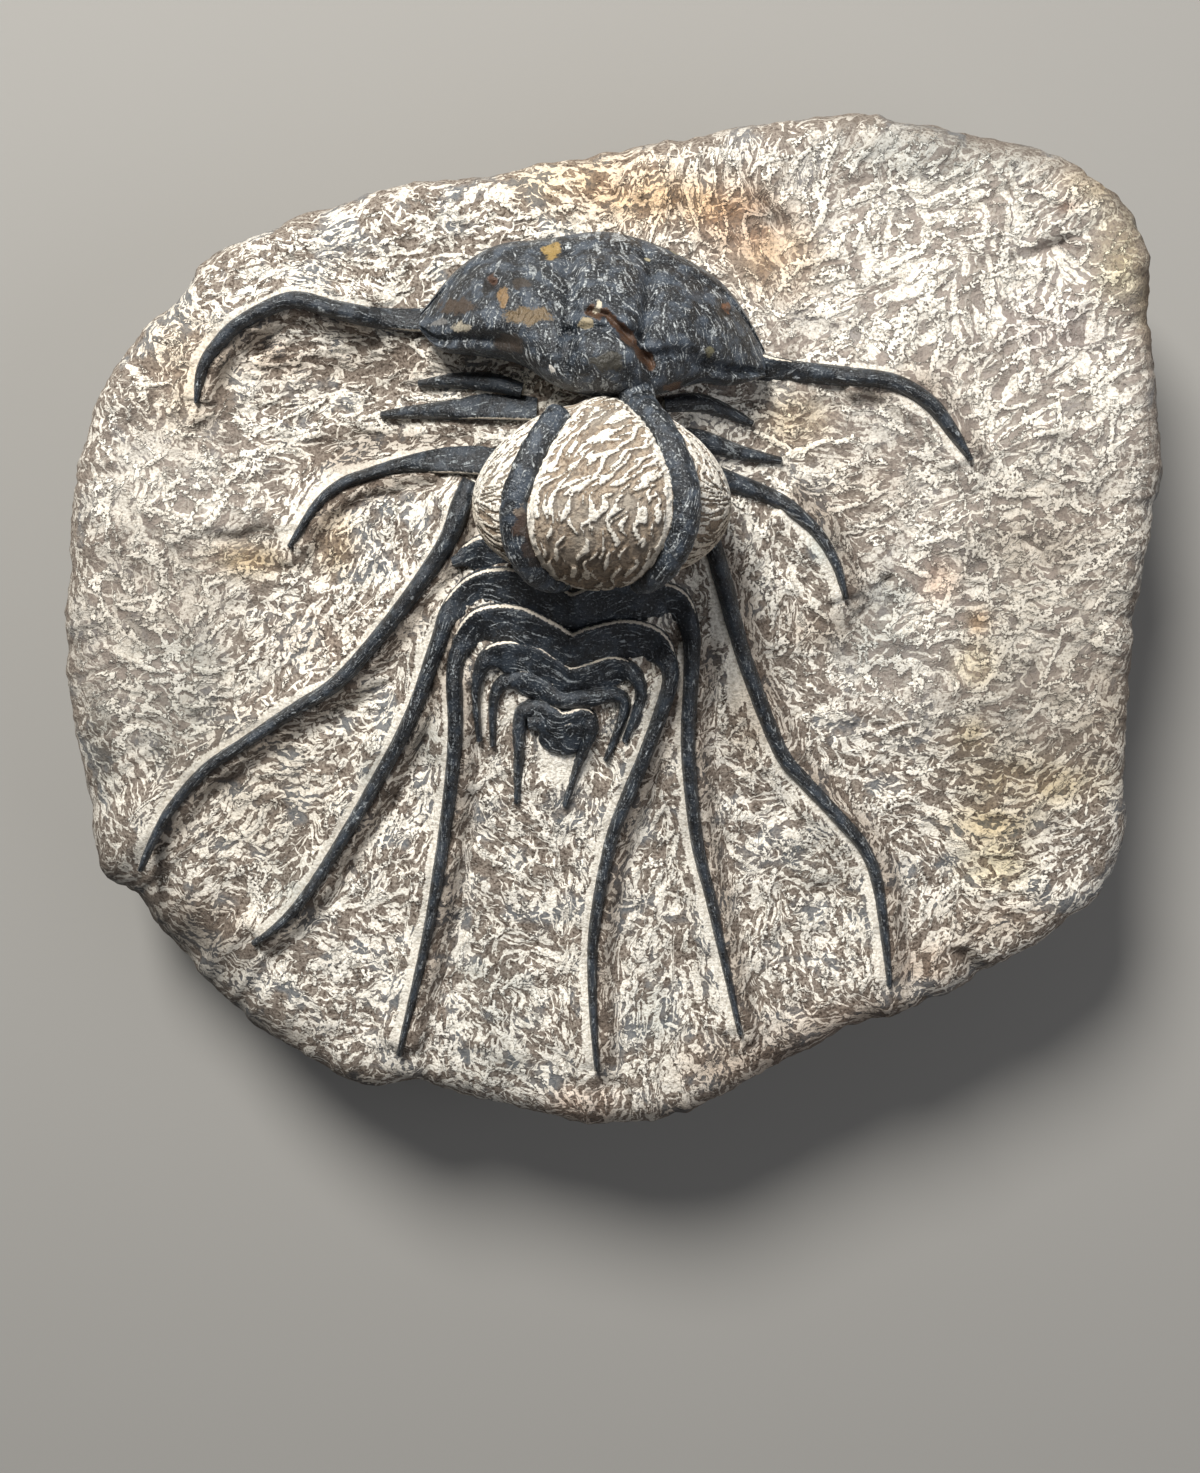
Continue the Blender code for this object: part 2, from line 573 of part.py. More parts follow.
def head():
    """The domed head shield, without its spines and horn."""
    front = through(HEAD_FRONT, 1.0)
    rear = through(HEAD_REAR, 1.0)
    columns = []
    for i in range(HEAD_COLUMNS + 1):
        x = HEAD_MIDDLE + HEAD_HALF_WIDTH * (2 * i / HEAD_COLUMNS - 1)
        back_y, front_y = edge_at(rear, x), edge_at(front, x)
        column = []
        for j in range(HEAD_ROWS + 1):
            share = j / HEAD_ROWS
            y = blend(back_y, front_y, share)
            column.append((x, y, head_height(x, y, share)))
        column.append((x, front_y, THICKNESS - HEAD_ROOT))
        column.append((x, back_y, THICKNESS - HEAD_ROOT))
        columns.append(column)
    bm = bmesh.new()
    loft(bm, columns)
    return add_object("cephalon", bm)


def build():
    for obj in list(bpy.data.objects):
        bpy.data.objects.remove(obj, do_unlink=True)

    stone = banked_block("limestone_block")
    ground = Ground(stone)
    add_ball(stone)
    finish(stone, LIMESTONE_COLOUR, LIMESTONE_ROUGHNESS)

    # The same rock, larger all round by the gap, cuts the shell free of it
    cutter = banked_block("cutter", GAP)
    add_ball(cutter, GAP)

    pieces = [head(), horn("left_horn", "left")]
    pieces += [strip(name, rows, ground) for name, rows in PATHS.items()]
    extras = {
        "cephalon": [
            strip("left_genal_spine", LEFT_GENAL_SPINE, ground),
            strip("right_genal_spine", RIGHT_GENAL_SPINE, ground),
            horn("right_horn", "right", RIGHT_HORN_ROOT),
        ],
        "thorax_segment_5": [strip("front_band", SEGMENT_5_FRONT, ground)],
        "pygidium": [strip("tail_plate", TAIL_PLATE, ground)],
    }
    for piece in pieces:
        for extra in extras.get(piece.name, []):
            boolean(piece, extra, "UNION")
            remove(extra)
        boolean(piece, cutter, "DIFFERENCE")
        finish(piece, SHELL_COLOUR, SHELL_ROUGHNESS)
    remove(cutter)


build()
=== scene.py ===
"""A horned trilobite, Dicranurus monstrosus, in its prepared block of limestone, dressed for its portrait.

The pieces come in the order in which the specimen is made up: the rock, the ball of rock between the horns,
the thorax, the tail, the head and the horns. Sizes are in millimetres, in the model's own frame.
"""

import math

import bmesh
import bpy
import numpy as np
from mathutils import Matrix, Vector, noise


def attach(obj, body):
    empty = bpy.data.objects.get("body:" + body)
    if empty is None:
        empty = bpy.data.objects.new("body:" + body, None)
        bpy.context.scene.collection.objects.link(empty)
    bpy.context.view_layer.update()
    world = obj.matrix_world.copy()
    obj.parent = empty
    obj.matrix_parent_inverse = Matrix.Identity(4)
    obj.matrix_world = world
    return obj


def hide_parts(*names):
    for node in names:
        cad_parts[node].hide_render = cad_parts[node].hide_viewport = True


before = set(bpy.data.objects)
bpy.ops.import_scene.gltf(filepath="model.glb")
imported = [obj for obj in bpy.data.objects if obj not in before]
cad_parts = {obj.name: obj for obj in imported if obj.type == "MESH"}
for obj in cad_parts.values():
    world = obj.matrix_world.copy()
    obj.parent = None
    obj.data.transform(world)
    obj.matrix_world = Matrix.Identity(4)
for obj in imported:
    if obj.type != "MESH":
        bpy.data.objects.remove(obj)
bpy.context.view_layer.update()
MM = 0.001

# The camera, the floor and the lights.
# The block lies on its back on a plain pale table, and the camera looks down on its face, a little from the
# foot of it, as in the photograph. The light is a large soft lamp above the head and to the left.
EYE = (1.9, 39.8, 303.5)
AIM = (-0.7, -12.8, 34.0)
LENS_PIXELS = 1930
FRAME_HEIGHT = 1473
SENSOR = 36


def linear(code):
    """An sRGB hex colour as linear red, green, blue and full cover."""
    parts = [int(code[i:i + 2], 16) / 255 for i in (1, 3, 5)]
    return tuple(c / 12.92 if c <= 0.04045 else ((c + 0.055) / 1.055) ** 2.4 for c in parts) + (1.0,)


def node(tree, kind, inputs=None, **settings):
    """Adds a node with its settings, and sets or links its inputs. A node given as an input is linked."""
    made = tree.nodes.new(kind if "Node" in kind else "ShaderNode" + kind)
    for name, value in settings.items():
        setattr(made, name, value)
    for key, value in (inputs or {}).items():
        if isinstance(value, bpy.types.Node):
            value = next(socket for socket in value.outputs if socket.enabled)
        if isinstance(value, bpy.types.NodeSocket):
            tree.links.new(value, made.inputs[key])
        else:
            made.inputs[key].default_value = value
    return made


def add_to_scene(name, data):
    """A new object that holds this data."""
    made = bpy.data.objects.new(name, data)
    bpy.context.scene.collection.objects.link(made)
    return made


def look(place, aim):
    """The turn and place of a camera or lamp that looks at a point, with the head of the block up."""
    forward = (Vector(aim) - Vector(place)).normalized()
    right = forward.cross(Vector((0, 1, 0))).normalized()
    turned = Matrix((right, right.cross(forward), -forward)).transposed().to_4x4()
    turned.translation = Vector(place) * MM
    return turned


camera = add_to_scene("camera", bpy.data.cameras.new("camera"))
camera.matrix_world = look(EYE, AIM)
camera.data.sensor_fit = "VERTICAL"
camera.data.sensor_height = SENSOR
camera.data.lens = LENS_PIXELS / FRAME_HEIGHT * SENSOR
bpy.context.scene.camera = camera

for name, place, size, power, colour in (
    ("main_lamp", (-190, 520, 560), 260, 11.2, "#fffdf9"),
    ("fill_lamp", (420, -60, 420), 420, 0.8, "#f8f9ff"),
):
    lamp = add_to_scene(name, bpy.data.lights.new(name, "AREA"))
    lamp.matrix_world = look(place, (0, 0, 30))
    lamp.data.shape = "DISK"
    lamp.data.size = size * MM
    lamp.data.energy = power
    lamp.data.color = linear(colour)[:3]

bpy.context.scene.view_settings.view_transform = "Standard"
world = bpy.data.worlds.new("studio")
world.use_nodes = True
world.node_tree.nodes["Background"].inputs["Color"].default_value = linear("#dfe2e6")
world.node_tree.nodes["Background"].inputs["Strength"].default_value = 0.18
bpy.context.scene.world = world

FLOOR, FLOOR_GAP = 1500.0, 0.2
floor_mesh = bpy.data.meshes.new("floor")
floor_mesh.from_pydata(
    [(x * FLOOR * MM, y * FLOOR * MM, -FLOOR_GAP * MM) for x, y in ((-1, -1), (1, -1), (1, 1), (-1, 1))],
    [], [(0, 1, 2, 3)],
)
floor = add_to_scene("floor", floor_mesh)
# Uncoated paper, with no gloss, so that it shows only soft shadow
paper = bpy.data.materials.new("matt_grey_paper")
paper.use_nodes = True
paper.node_tree.nodes["Principled BSDF"].inputs["Base Color"].default_value = linear("#8f8d89")
paper.node_tree.nodes["Principled BSDF"].inputs["Roughness"].default_value = 0.95
floor_mesh.materials.append(paper)

# The limestone slab.
# Hard buff limestone, rough-broken round its rim, with its face worked down to the fossil by an air scribe:
# each touch left a short pale furrow edge over the browner rock, and low banks were left to carry the spines.
THICKNESS = 34.0
OUTLINE = [
    (-61, 47), (-53, 54.5), (-38, 60.5), (-25, 63.5), (-6, 66.5), (13.5, 70), (26, 72), (38, 72.5),
    (54, 69), (64, 66), (70, 62), (74, 56), (75.5, 46), (77.5, 33), (78, 25), (77, 15), (75.5, -2),
    (75.3, -17), (75.5, -26), (73, -36), (66, -43), (55.5, -49.5), (46, -54.5), (35, -58), (23.5, -64.5),
    (11.5, -71), (4, -72.5), (-5, -72.3), (-18, -69), (-28, -66.2), (-36, -67), (-45, -63), (-57, -55),
    (-66.5, -46.5), (-72, -39.5), (-75.5, -37.5), (-77, -29), (-78, -13.5), (-77.5, 3.5), (-75, 22),
    (-72.5, 32.5), (-67, 41),
]
RIM_CENTRE = (-2.0, 20.0)
EDGE_DROP, EDGE_INSET = 6.0, 6.0
CORNER_DROP, CORNER_INSET = 17.0, 20.0
CORNER_ANGLE, CORNER_SPREAD = math.radians(219), math.radians(16)
WALL_FOOT, WALL_INSET, BACK_INSET = 8.0, 2.0, 7.0
LUMP_HEIGHT, LUMP_SIZE, LUMP_STEPS = 0.9, 13.0, 4
SWELLS = [
    (-2, 12, 27, 30, 8.0), (0, 0, 62, 55, 2.5), (-1, 36, 17, 9, 5.0), (-34, 33.5, 17, 9, -4.0),
    (21, 30, 8, 5, -1.5),
]

# Paths of the spines and bands, each place as x, y, width, height above the rock
SEGMENT_1_LEFT = [
    (-11, 35.8, 2.0, 2.2), (-15, 36.8, 2.6, 2.2), (-20, 37.0, 2.2, 1.8), (-25.5, 36.6, 1.0, 1.0),
]
SEGMENT_2_LEFT = [
    (-9, 33.4, 3.4, 2.2), (-16, 33.6, 3.6, 2.2), (-22, 33, 2.6, 1.8), (-27, 32.7, 1.8, 1.4),
    (-31, 32.3, 1.0, 1.0),
]
SEGMENT_3_LEFT = [
    (-12, 26, 3.8, 2.4), (-17.5, 26.4, 4.0, 2.2), (-22.5, 26.3, 3.4, 2.0), (-27.7, 25.7, 2.2, 1.7),
    (-32.6, 24.3, 1.8, 1.5), (-36.2, 23, 1.7, 1.4), (-39.8, 20, 1.4, 1.2), (-43.5, 14.5, 0.9, 1.0),
]
SEGMENT_4_LEFT = [
    (-18, 23.8, 2.6, 1.8), (-19.4, 20.5, 2.9, 2.0), (-21.6, 15.2, 2.6, 1.9), (-28, 6.2, 2.3, 1.8),
    (-36.6, -3.7, 2.2, 1.7), (-43.1, -8.1, 2.0, 1.6), (-50.6, -13.1, 1.8, 1.5), (-56.7, -17.3, 1.7, 1.4),
    (-62.5, -24, 1.5, 1.3), (-66.6, -32, 0.9, 1.0),
]
SEGMENT_1_RIGHT = [
    (8, 34, 2.2, 2.0), (12, 34.2, 2.6, 2.0), (15.5, 33.3, 2.2, 1.8), (20, 31.3, 1.0, 1.0),
]
SEGMENT_2_RIGHT = [
    (9, 29.8, 2.6, 2.0), (13, 29.2, 2.8, 2.0), (18, 27.5, 2.2, 1.7), (24, 26.3, 1.0, 1.0),
]
SEGMENT_3_RIGHT = [
    (13, 25, 3.2, 2.2), (18, 23.2, 2.8, 2.0), (23.7, 21, 2.2, 1.7), (26.5, 19, 2.0, 1.6),
    (29.5, 16, 1.7, 1.4), (31.8, 12, 1.4, 1.2), (33.2, 7.5, 0.9, 1.0),
]
SEGMENT_4_RIGHT = [
    (14.2, 16.5, 2.6, 2.0), (16.3, 9.5, 2.6, 2.0), (19.2, -0.5, 2.3, 1.8), (24.3, -13.3, 2.2, 1.7),
    (27.6, -17.8, 2.1, 1.6), (33.3, -23.9, 2.0, 1.5), (37, -28.5, 1.9, 1.4), (39.2, -34.8, 1.7, 1.3),
    (41.2, -49, 0.9, 1.0),
]
SEGMENT_5 = [
    (-50.9, -43.2, 0.9, 1.0), (-42.4, -34.9, 1.6, 1.4), (-28.6, -12.3, 2.1, 1.7), (-23.1, 0.9, 2.4, 1.9),
    (-20.9, 6.3, 3.0, 2.1), (-17.3, 9.6, 4.0, 2.3), (-13, 10.3, 4.4, 2.4), (-8.7, 9.2, 4.4, 2.4),
    (-4.6, 7.2, 4.2, 2.8), (-0.6, 8.4, 4.2, 2.6), (5.5, 8.8, 4.2, 2.4), (9.8, 7.8, 3.6, 2.2),
    (11.7, 3.6, 2.7, 2.0), (11.8, -2.5, 2.3, 1.8), (11.6, -13.4, 2.1, 1.7), (13, -26.5, 1.9, 1.5),
    (15.4, -36.8, 1.6, 1.4), (19.7, -56.2, 0.9, 1.0),
]
SEGMENT_6 = [
    (-30.1, -60, 0.9, 1.0), (-25.1, -39.5, 1.6, 1.4), (-21.9, -21.1, 2.0, 1.6), (-20.7, -11, 2.2, 1.7),
    (-20.6, -2.6, 2.5, 1.9), (-19.4, 2, 3.0, 2.1), (-16.6, 4.9, 4.2, 2.3), (-12.2, 5.2, 4.5, 2.4),
    (-8.1, 3.4, 4.5, 2.4), (-4.6, 1.7, 4.2, 2.7), (-1.8, 2.5, 4.3, 2.5), (3, 3.4, 4.3, 2.4),
    (6.8, 2.3, 3.8, 2.2), (8.7, -0.8, 2.8, 2.0), (8.7, -4.5, 2.3, 1.9), (5.8, -13.4, 2.1, 1.7),
    (3.6, -19.2, 2.1, 1.6), (0.9, -26.8, 1.9, 1.5), (-1.4, -39.4, 1.7, 1.4), (-1.8, -49.2, 1.4, 1.2),
    (-1.1, -61.9, 0.9, 1.0),
]
LEFT_GENAL_SPINE = [
    (-19, 45.5, 5.0, 3.4), (-24, 45.1, 3.6, 2.8), (-30.8, 45.4, 2.9, 2.2), (-36.6, 46.5, 2.6, 2.0),
    (-42.5, 47.7, 2.4, 1.8), (-49.3, 44.8, 2.1, 1.6), (-52.6, 42, 2.0, 1.5), (-55, 38.6, 1.7, 1.3),
    (-56, 34, 0.9, 1.0),
]
RIGHT_GENAL_SPINE = [
    (14, 40.5, 5.6, 3.6), (20, 39, 4.2, 3.0), (24, 38.4, 3.2, 2.4), (32.5, 37.6, 2.7, 2.0),
    (39.1, 36.8, 2.4, 1.8), (44.1, 34, 2.2, 1.6), (47.2, 30.4, 1.9, 1.4), (50, 26.4, 0.9, 1.0),
]
BANKED_PATHS = [
    SEGMENT_4_LEFT, SEGMENT_5[:5], SEGMENT_6[:5], SEGMENT_6[-8:], SEGMENT_5[-6:], SEGMENT_4_RIGHT,
    SEGMENT_3_LEFT[2:], SEGMENT_3_RIGHT[2:], LEFT_GENAL_SPINE[2:], RIGHT_GENAL_SPINE[3:],
]
BANK_HEIGHT, BANK_TOP, BANK_FOOT, STEEP_FOOT, BANK_SEEN = 1.7, 1.4, 5.5, 3.6, 9

# The way the tool ran in each part of the face: x, y, reach, angle from X
STROKE_RUNS = [
    (-71, 24, 12, 97), (-63, 24, 9, 137), (-64, 7, 14, 128), (-64, -10, 12, 132), (-54, -19, 10, 34),
    (-46, -27, 10, 8), (-54, -36, 10, 10), (-46, -45, 12, 2), (-46, -55, 12, 176), (-37, -64, 12, 168),
    (-54, 56, 9, 23), (-41, 58, 12, 0), (-27, 60, 10, 25), (-6, 63, 9, 5), (7, 60, 7, 75), (14, 62, 7, 72),
    (13, 56, 6, 133), (22, 62, 8, 66), (31, 63, 8, 54), (41, 62, 10, 52), (54, 62, 10, 57), (66, 62, 8, 20),
    (31, 55, 9, 46), (41, 54, 9, 34), (56, 54, 10, 30), (70, 54, 9, 38), (31, 47, 7, 32), (40, 47, 8, 25),
    (56, 46, 10, 44), (70, 46, 9, 20), (22, 51, 6, 118), (-63, 47, 8, 52), (-54, 47, 8, 34), (-47, 39, 8, 8),
    (-37, 39, 8, 174), (-28, 39, 8, 178), (-54, 39, 6, 60), (-45, 31, 8, 172), (-35, 31, 8, 2),
    (-27, 31, 8, 178), (-45, 24, 7, 8), (-37, 18, 6, 55), (-54, 16, 8, 12), (-54, 7, 7, 45), (-46, 12, 8, 20),
    (-45, 0, 9, 60), (-37, 2, 7, 65), (-46, -2, 8, 100), (-54, -2, 7, 40), (-54, -10, 8, 28),
    (-37, -11, 8, 20), (-38, -19, 8, 20), (-28, -20, 7, 52), (-20, 18, 6, 57), (-30, 12, 8, 70),
    (-37, -28, 7, 50), (-28, -28, 7, 49), (-28, -37, 7, 25), (-37, -45, 9, 0), (-28, -45, 8, 158),
    (-37, -55, 9, 178), (-12, -28, 7, 128), (-12, -37, 7, 135), (-20, -45, 7, 70), (-12, -45, 7, 10),
    (-20, -55, 7, 97), (-12, -55, 7, 109), (-4, -20, 6, 69), (-3, -28, 6, 59), (-3, -37, 6, 87),
    (-3, -55, 7, 93), (-12, -64, 8, 144), (5, -64, 8, 81), (5, -45, 7, 71), (5, -55, 7, 79),
    (13, -64, 8, 112), (13, -45, 6, 100), (22, -20, 7, 160), (22, -28, 7, 156), (22, -37, 7, 62),
    (22, -45, 8, 95), (30, -28, 7, 157), (30, -37, 8, 139), (30, -45, 8, 128), (22, -55, 8, 110),
    (30, -55, 8, 8), (39, -45, 7, 120), (47, -28, 8, 153), (47, -37, 7, 84), (47, -45, 8, 72),
    (47, -20, 8, 3), (56, -19, 9, 9), (56, -28, 9, 21), (56, -37, 9, 176), (64, -20, 9, 35),
    (66, -30, 10, 36), (72, -19, 9, 43), (56, -46, 9, 17), (39, -19, 7, 178), (39, -11, 7, 166),
    (47, -10, 7, 30), (56, -10, 8, 170), (65, -10, 9, 36), (22, -2, 7, 108), (31, -2, 7, 121),
    (39, -2, 7, 165), (47, -2, 7, 115), (56, -2, 8, 167), (65, -2, 9, 20), (73, 2, 9, 25), (30, -11, 7, 129),
    (22, 15, 6, 109), (30, 15, 6, 129), (39, 15, 8, 168), (47, 15, 8, 165), (56, 15, 8, 142), (65, 15, 8, 0),
    (73, 15, 8, 34), (47, 7, 8, 159), (56, 7, 8, 160), (65, 7, 8, 18), (30, 23, 6, 6), (39, 23, 7, 12),
    (47, 23, 7, 160), (56, 23, 8, 125), (65, 23, 8, 126), (73, 23, 8, 58), (22, 31, 6, 166), (30, 31, 6, 17),
    (39, 31, 6, 179), (47, 32, 6, 124), (56, 32, 8, 55), (65, 32, 9, 42), (73, 32, 9, 56), (56, 39, 8, 60),
    (65, 39, 9, 56), (73, 39, 8, 34), (30, 41, 5, 176), (0, -14, 5, 90),
]
# Where the tool ran in a coarse net of crossing strokes: x, y, reach
NET_PATCHES = [
    (45, 52, 26), (62, 38, 20), (-66, -3, 12), (60, 0, 14), (40, 0, 8), (-60, 20, 12), (50, 12, 10),
]

# Where the rock was left smooth and chalky between the spines: x, y, half width, half height
CHALK = [
    (-5.5, -15, 4.5, 5), (-12.9, -7.5, 1.0, 2.2), (2.4, -10.2, 1.0, 2.2), (15.5, 7, 1.6, 6), (18, -3, 1.5, 7),
    (-19.6, -7, 0.8, 6), (-17, -8, 0.8, 5), (7, -7, 0.9, 5), (-25.5, -3, 1.0, 6),
]

STEP = 0.25
EAST, NORTH = 81.0, 76.0
xs = np.arange(-EAST, EAST + STEP / 2, STEP)
ys = np.arange(-NORTH, NORTH + STEP / 2, STEP)
X, Y = np.meshgrid(xs, ys)


def sample(field, x, y):
    """The value of a field of the face at these places."""
    u = np.clip((np.asarray(x) + EAST) / STEP, 0, len(xs) - 1.001)
    v = np.clip((np.asarray(y) + NORTH) / STEP, 0, len(ys) - 1.001)
    i, j = u.astype(int), v.astype(int)
    u, v = u - i, v - j
    return (field[j, i] * (1 - u) + field[j, i + 1] * u) * (1 - v) + (
        field[j + 1, i] * (1 - u) + field[j + 1, i + 1] * u) * v


def smooth(low, high, value):
    """0 below low, 1 above high and an even rise between them."""
    share = np.clip((value - low) / (high - low), 0, 1)
    return share * share * (3 - 2 * share)


def cloud(size, seed, octaves=1):
    """A field of soft patches of about this size, from -1 to 1."""
    total = np.zeros_like(X)
    for octave in range(octaves):
        cell = size / 2 ** octave
        generator = np.random.default_rng(seed + 101 * octave)
        knots = generator.uniform(-1, 1, (int(2 * NORTH / cell) + 4, int(2 * EAST / cell) + 4))
        u, v = (X + EAST) / cell, (Y + NORTH) / cell
        i, j = u.astype(int), v.astype(int)
        u, v = smooth(0, 1, u - i), smooth(0, 1, v - j)
        total += ((knots[j, i] * (1 - u) + knots[j, i + 1] * u) * (1 - v)
                  + (knots[j + 1, i] * (1 - u) + knots[j + 1, i + 1] * u) * v) / 2 ** octave
    return total


def curve_through(rows, spacing, closed=False):
    """Rows along a smooth curve through the given ones, about this far apart."""
    count = len(rows)
    found = []
    for i in range(count if closed else count - 1):
        if closed:
            four = [rows[(i + k) % count] for k in (-1, 0, 1, 2)]
        else:
            four = [rows[max(i - 1, 0)], rows[i], rows[i + 1], rows[min(i + 2, count - 1)]]
        four = np.array(four, float)
        steps = max(1, round(math.dist(four[1][:2], four[2][:2]) / spacing))
        t = (np.arange(steps) / steps)[:, None]
        found.append(0.5 * ((-t + 2 * t ** 2 - t ** 3) * four[0] + (2 - 5 * t ** 2 + 3 * t ** 3) * four[1]
                            + (t + 4 * t ** 2 - 3 * t ** 3) * four[2] + (-t ** 2 + t ** 3) * four[3]))
    if not closed:
        found.append(np.array([rows[-1]], float))
    return np.concatenate(found)


def near(rows, width):
    """For the face near a path: distance from it, side (1 is left), how far along it, and its angle."""
    path = curve_through([row[:2] for row in rows], 0.8)
    distance = np.full_like(X, 99.0)
    side, along, angle = np.zeros_like(X), np.zeros_like(X), np.zeros_like(X)
    for k, (a, b) in enumerate(zip(path, path[1:])):
        low, high = np.minimum(a, b) - width, np.maximum(a, b) + width
        i0, i1 = np.searchsorted(xs, (low[0], high[0]))
        j0, j1 = np.searchsorted(ys, (low[1], high[1]))
        here = (slice(j0, j1), slice(i0, i1))
        dx, dy = X[here] - a[0], Y[here] - a[1]
        step = b - a
        share = np.clip((dx * step[0] + dy * step[1]) / step.dot(step), 0, 1)
        away = np.hypot(dx - share * step[0], dy - share * step[1])
        closer = away < distance[here]
        distance[here] = np.where(closer, away, distance[here])
        side[here] = np.where(closer, np.sign(step[0] * dy - step[1] * dx), side[here])
        along[here] = np.where(closer, (k + share) / (len(path) - 1), along[here])
        angle[here] = np.where(closer, math.atan2(step[1], step[0]), angle[here])
    return distance, side, along, angle


# Pits, cracks and dug hollows: x, y, half length, half width, angle, depth
PITS = [
    (22.3, 58.6, 4.5, 1.1, -50, 1.8), (49.6, 59.8, 1.3, 0.9, 20, 1.2), (61.5, 55.0, 2.6, 0.7, 25, 1.3),
    (56.6, 64.6, 1.4, 0.7, 10, 1.0), (71.8, 62.3, 1.6, 0.7, -40, 1.0), (41.1, 39.2, 1.0, 0.8, 0, 1.0),
    (39.4, 9.7, 1.1, 0.8, 30, 1.2), (-49.5, 15.8, 6.0, 0.8, 4, 1.6), (-47.0, 41.5, 2.4, 0.8, 50, 1.2),
    (-28, 28.8, 12, 1.5, 2, 1.3), (-36, 26.4, 5, 1.8, 5, 1.0), (70, 5, 6, 0.6, 62, 0.9),
    (74, 14, 5, 0.6, 60, 0.9), (20.8, 23.2, 1.6, 0.7, -20, 1.2), (51.5, -44.5, 1.5, 0.9, 10, 1.6),
    (-23, 4, 4, 1.2, 60, 0.8), (29, 3, 6, 1.6, 118, 0.7), (-36, -8, 8, 1.6, 30, 0.8),
    (-31, -24, 9, 1.6, 58, 0.8), (-20, -35, 9, 1.4, 80, 0.6),
]

# Where the rock is tinted: x, y, half width, half height, tint. Most are stains of the rock. The following
# are painted shade: the dark ones over the pits and dug hollows, the brown and near-black ones along the
# lower rim and round the lower-left corner, which turn away from the lamp, and the plain greys over the left
# and right sides, which darken them towards the edges
STAINS_AND_SHADE = [
    (-5, 63, 9, 4, "#fbe3bd"), (4, 62, 8, 5, "#f7d3a4"), (18, 58.5, 6, 5, "#f0c090"),
    (23, 53, 6, 5, "#f4cf9e"), (12, 60, 7, 3.5, "#f8dcae"), (22.3, 58.6, 3.5, 1.2, "#6b574c"),
    (26, 31.5, 5, 4, "#f3dcb4"), (66, 63.4, 5, 3, "#f3dfb6"), (70, 54, 4, 7, "#efe4b4"),
    (75, 47, 3, 6, "#f1d9ae"), (62, 60, 1.2, 0.8, "#e6a878"), (61.5, 55, 2.4, 1.0, "#6e5a58"),
    (52, 4, 2, 2, "#efc48c"), (46.5, 9.7, 3, 3, "#efcdb8"), (52, -2, 3, 3, "#ecd7a0"),
    (52, -13, 3, 3, "#e9d193"), (61, -19, 10, 3.5, "#e9d397"), (55, -25, 6, 3, "#e6cf96"),
    (56, -31, 5, 4, "#ebdba8"), (38, 1, 5, 4.5, "#9aa6ac"), (40, 8, 3, 2.5, "#a3adb2"),
    (30, 15, 3, 3, "#c3d0d6"), (41, 67, 11, 3.5, "#b5bdc2"), (52, 66, 8, 3, "#c2c8ca"),
    (60, 44, 8, 5, "#e9e4ea"), (46, 38, 8, 4, "#e6e2e0"), (-61, -10, 6, 9, "#c6ced2"),
    (-60, -1, 6, 3, "#dbe4e8"), (-72, -14, 3, 8, "#b8bfc0"), (-16, -50, 5, 7, "#c0c9cd"),
    (-16, -62, 6, 4, "#a9aeb0"), (7, -54, 4, 5, "#c6ced2"), (-44, -35, 5, 7, "#c9d0d2"),
    (-25, -12, 2.5, 4, "#aeb7bb"), (-32, -17, 3, 3, "#a8b1b5"), (30, -30, 4, 6, "#dadcdc"),
    (47, -46, 6, 3, "#c9a78c"), (53, -46, 3, 2, "#7d7875"), (-49.5, 12.5, 6, 2.6, "#d6b36c"),
    (-37.5, 15, 3, 4.5, "#dfc088"), (-49.5, 15.8, 5.5, 0.9, "#5b5048"), (-28, 28.8, 12, 1.7, "#7c6a5c"),
    (-36, 26.4, 6, 2.4, "#98877a"), (-30, 39, 12, 3, "#cfc4bb"), (-45, 40, 5, 3, "#d8c4b4"),
    (-58, 38, 6, 8, "#fbe9d2"), (-39, 2, 8, 4, "#fdf3ec"), (29, 3, 6, 3, "#b9a99b"),
    (40, -56, 14, 5, "#c3a58f"), (20, -62, 10, 5, "#c9b09c"), (-3, -68, 5, 3, "#dcb298"),
    (-68, -39.5, 4, 3, "#0c0805"), (-62, -42, 6, 3.5, "#000000"), (-55, -45.5, 5, 3, "#1b120b"),
    (-68, -46, 9, 5, "#1b120b"), (-60, -52, 8, 4, "#2a2019"), (-50, -58, 10, 4, "#4c4036"),
    (-36, -65, 10, 3.5, "#6b6056"), (35, 22, 7, 5, "#dcd5cf"), (30, -61, 8, 3, "#7a5c49"),
    (46, -55, 9, 3, "#54463c"), (-75, -34, 4, 5, "#4c4238"), (12, -70, 8, 3, "#8d7561"),
    (60, -49, 6, 3, "#6c5f54"), (-3, -71, 8, 2.5, "#8f7b69"), (20, -10, 3.5, 7, "#dccdbd"),
    (60, 15, 8, 6, "#d8cfc8"), (-64, 3, 14, 20, "#bdb8b2"), (62, 6, 15, 22, "#b4afa8"),
    (60, -16, 15, 12, "#bcb6ad"), (-60, -41, 9, 5, "#b09a86"), (-50, -20, 14, 12, "#d2ccc4"),
    (70, -8, 6, 7, "#d2c8bc"), (57, -40, 9, 4, "#cbbcae"),
]

# How strongly the stains and the painted shade show, and the brown of the painted shade on the steep right
# side of each bank, away from the lamp
STAIN_AND_SHADE_STRENGTH, BANK_SHADE_BROWN = 0.75, "#8a7564"

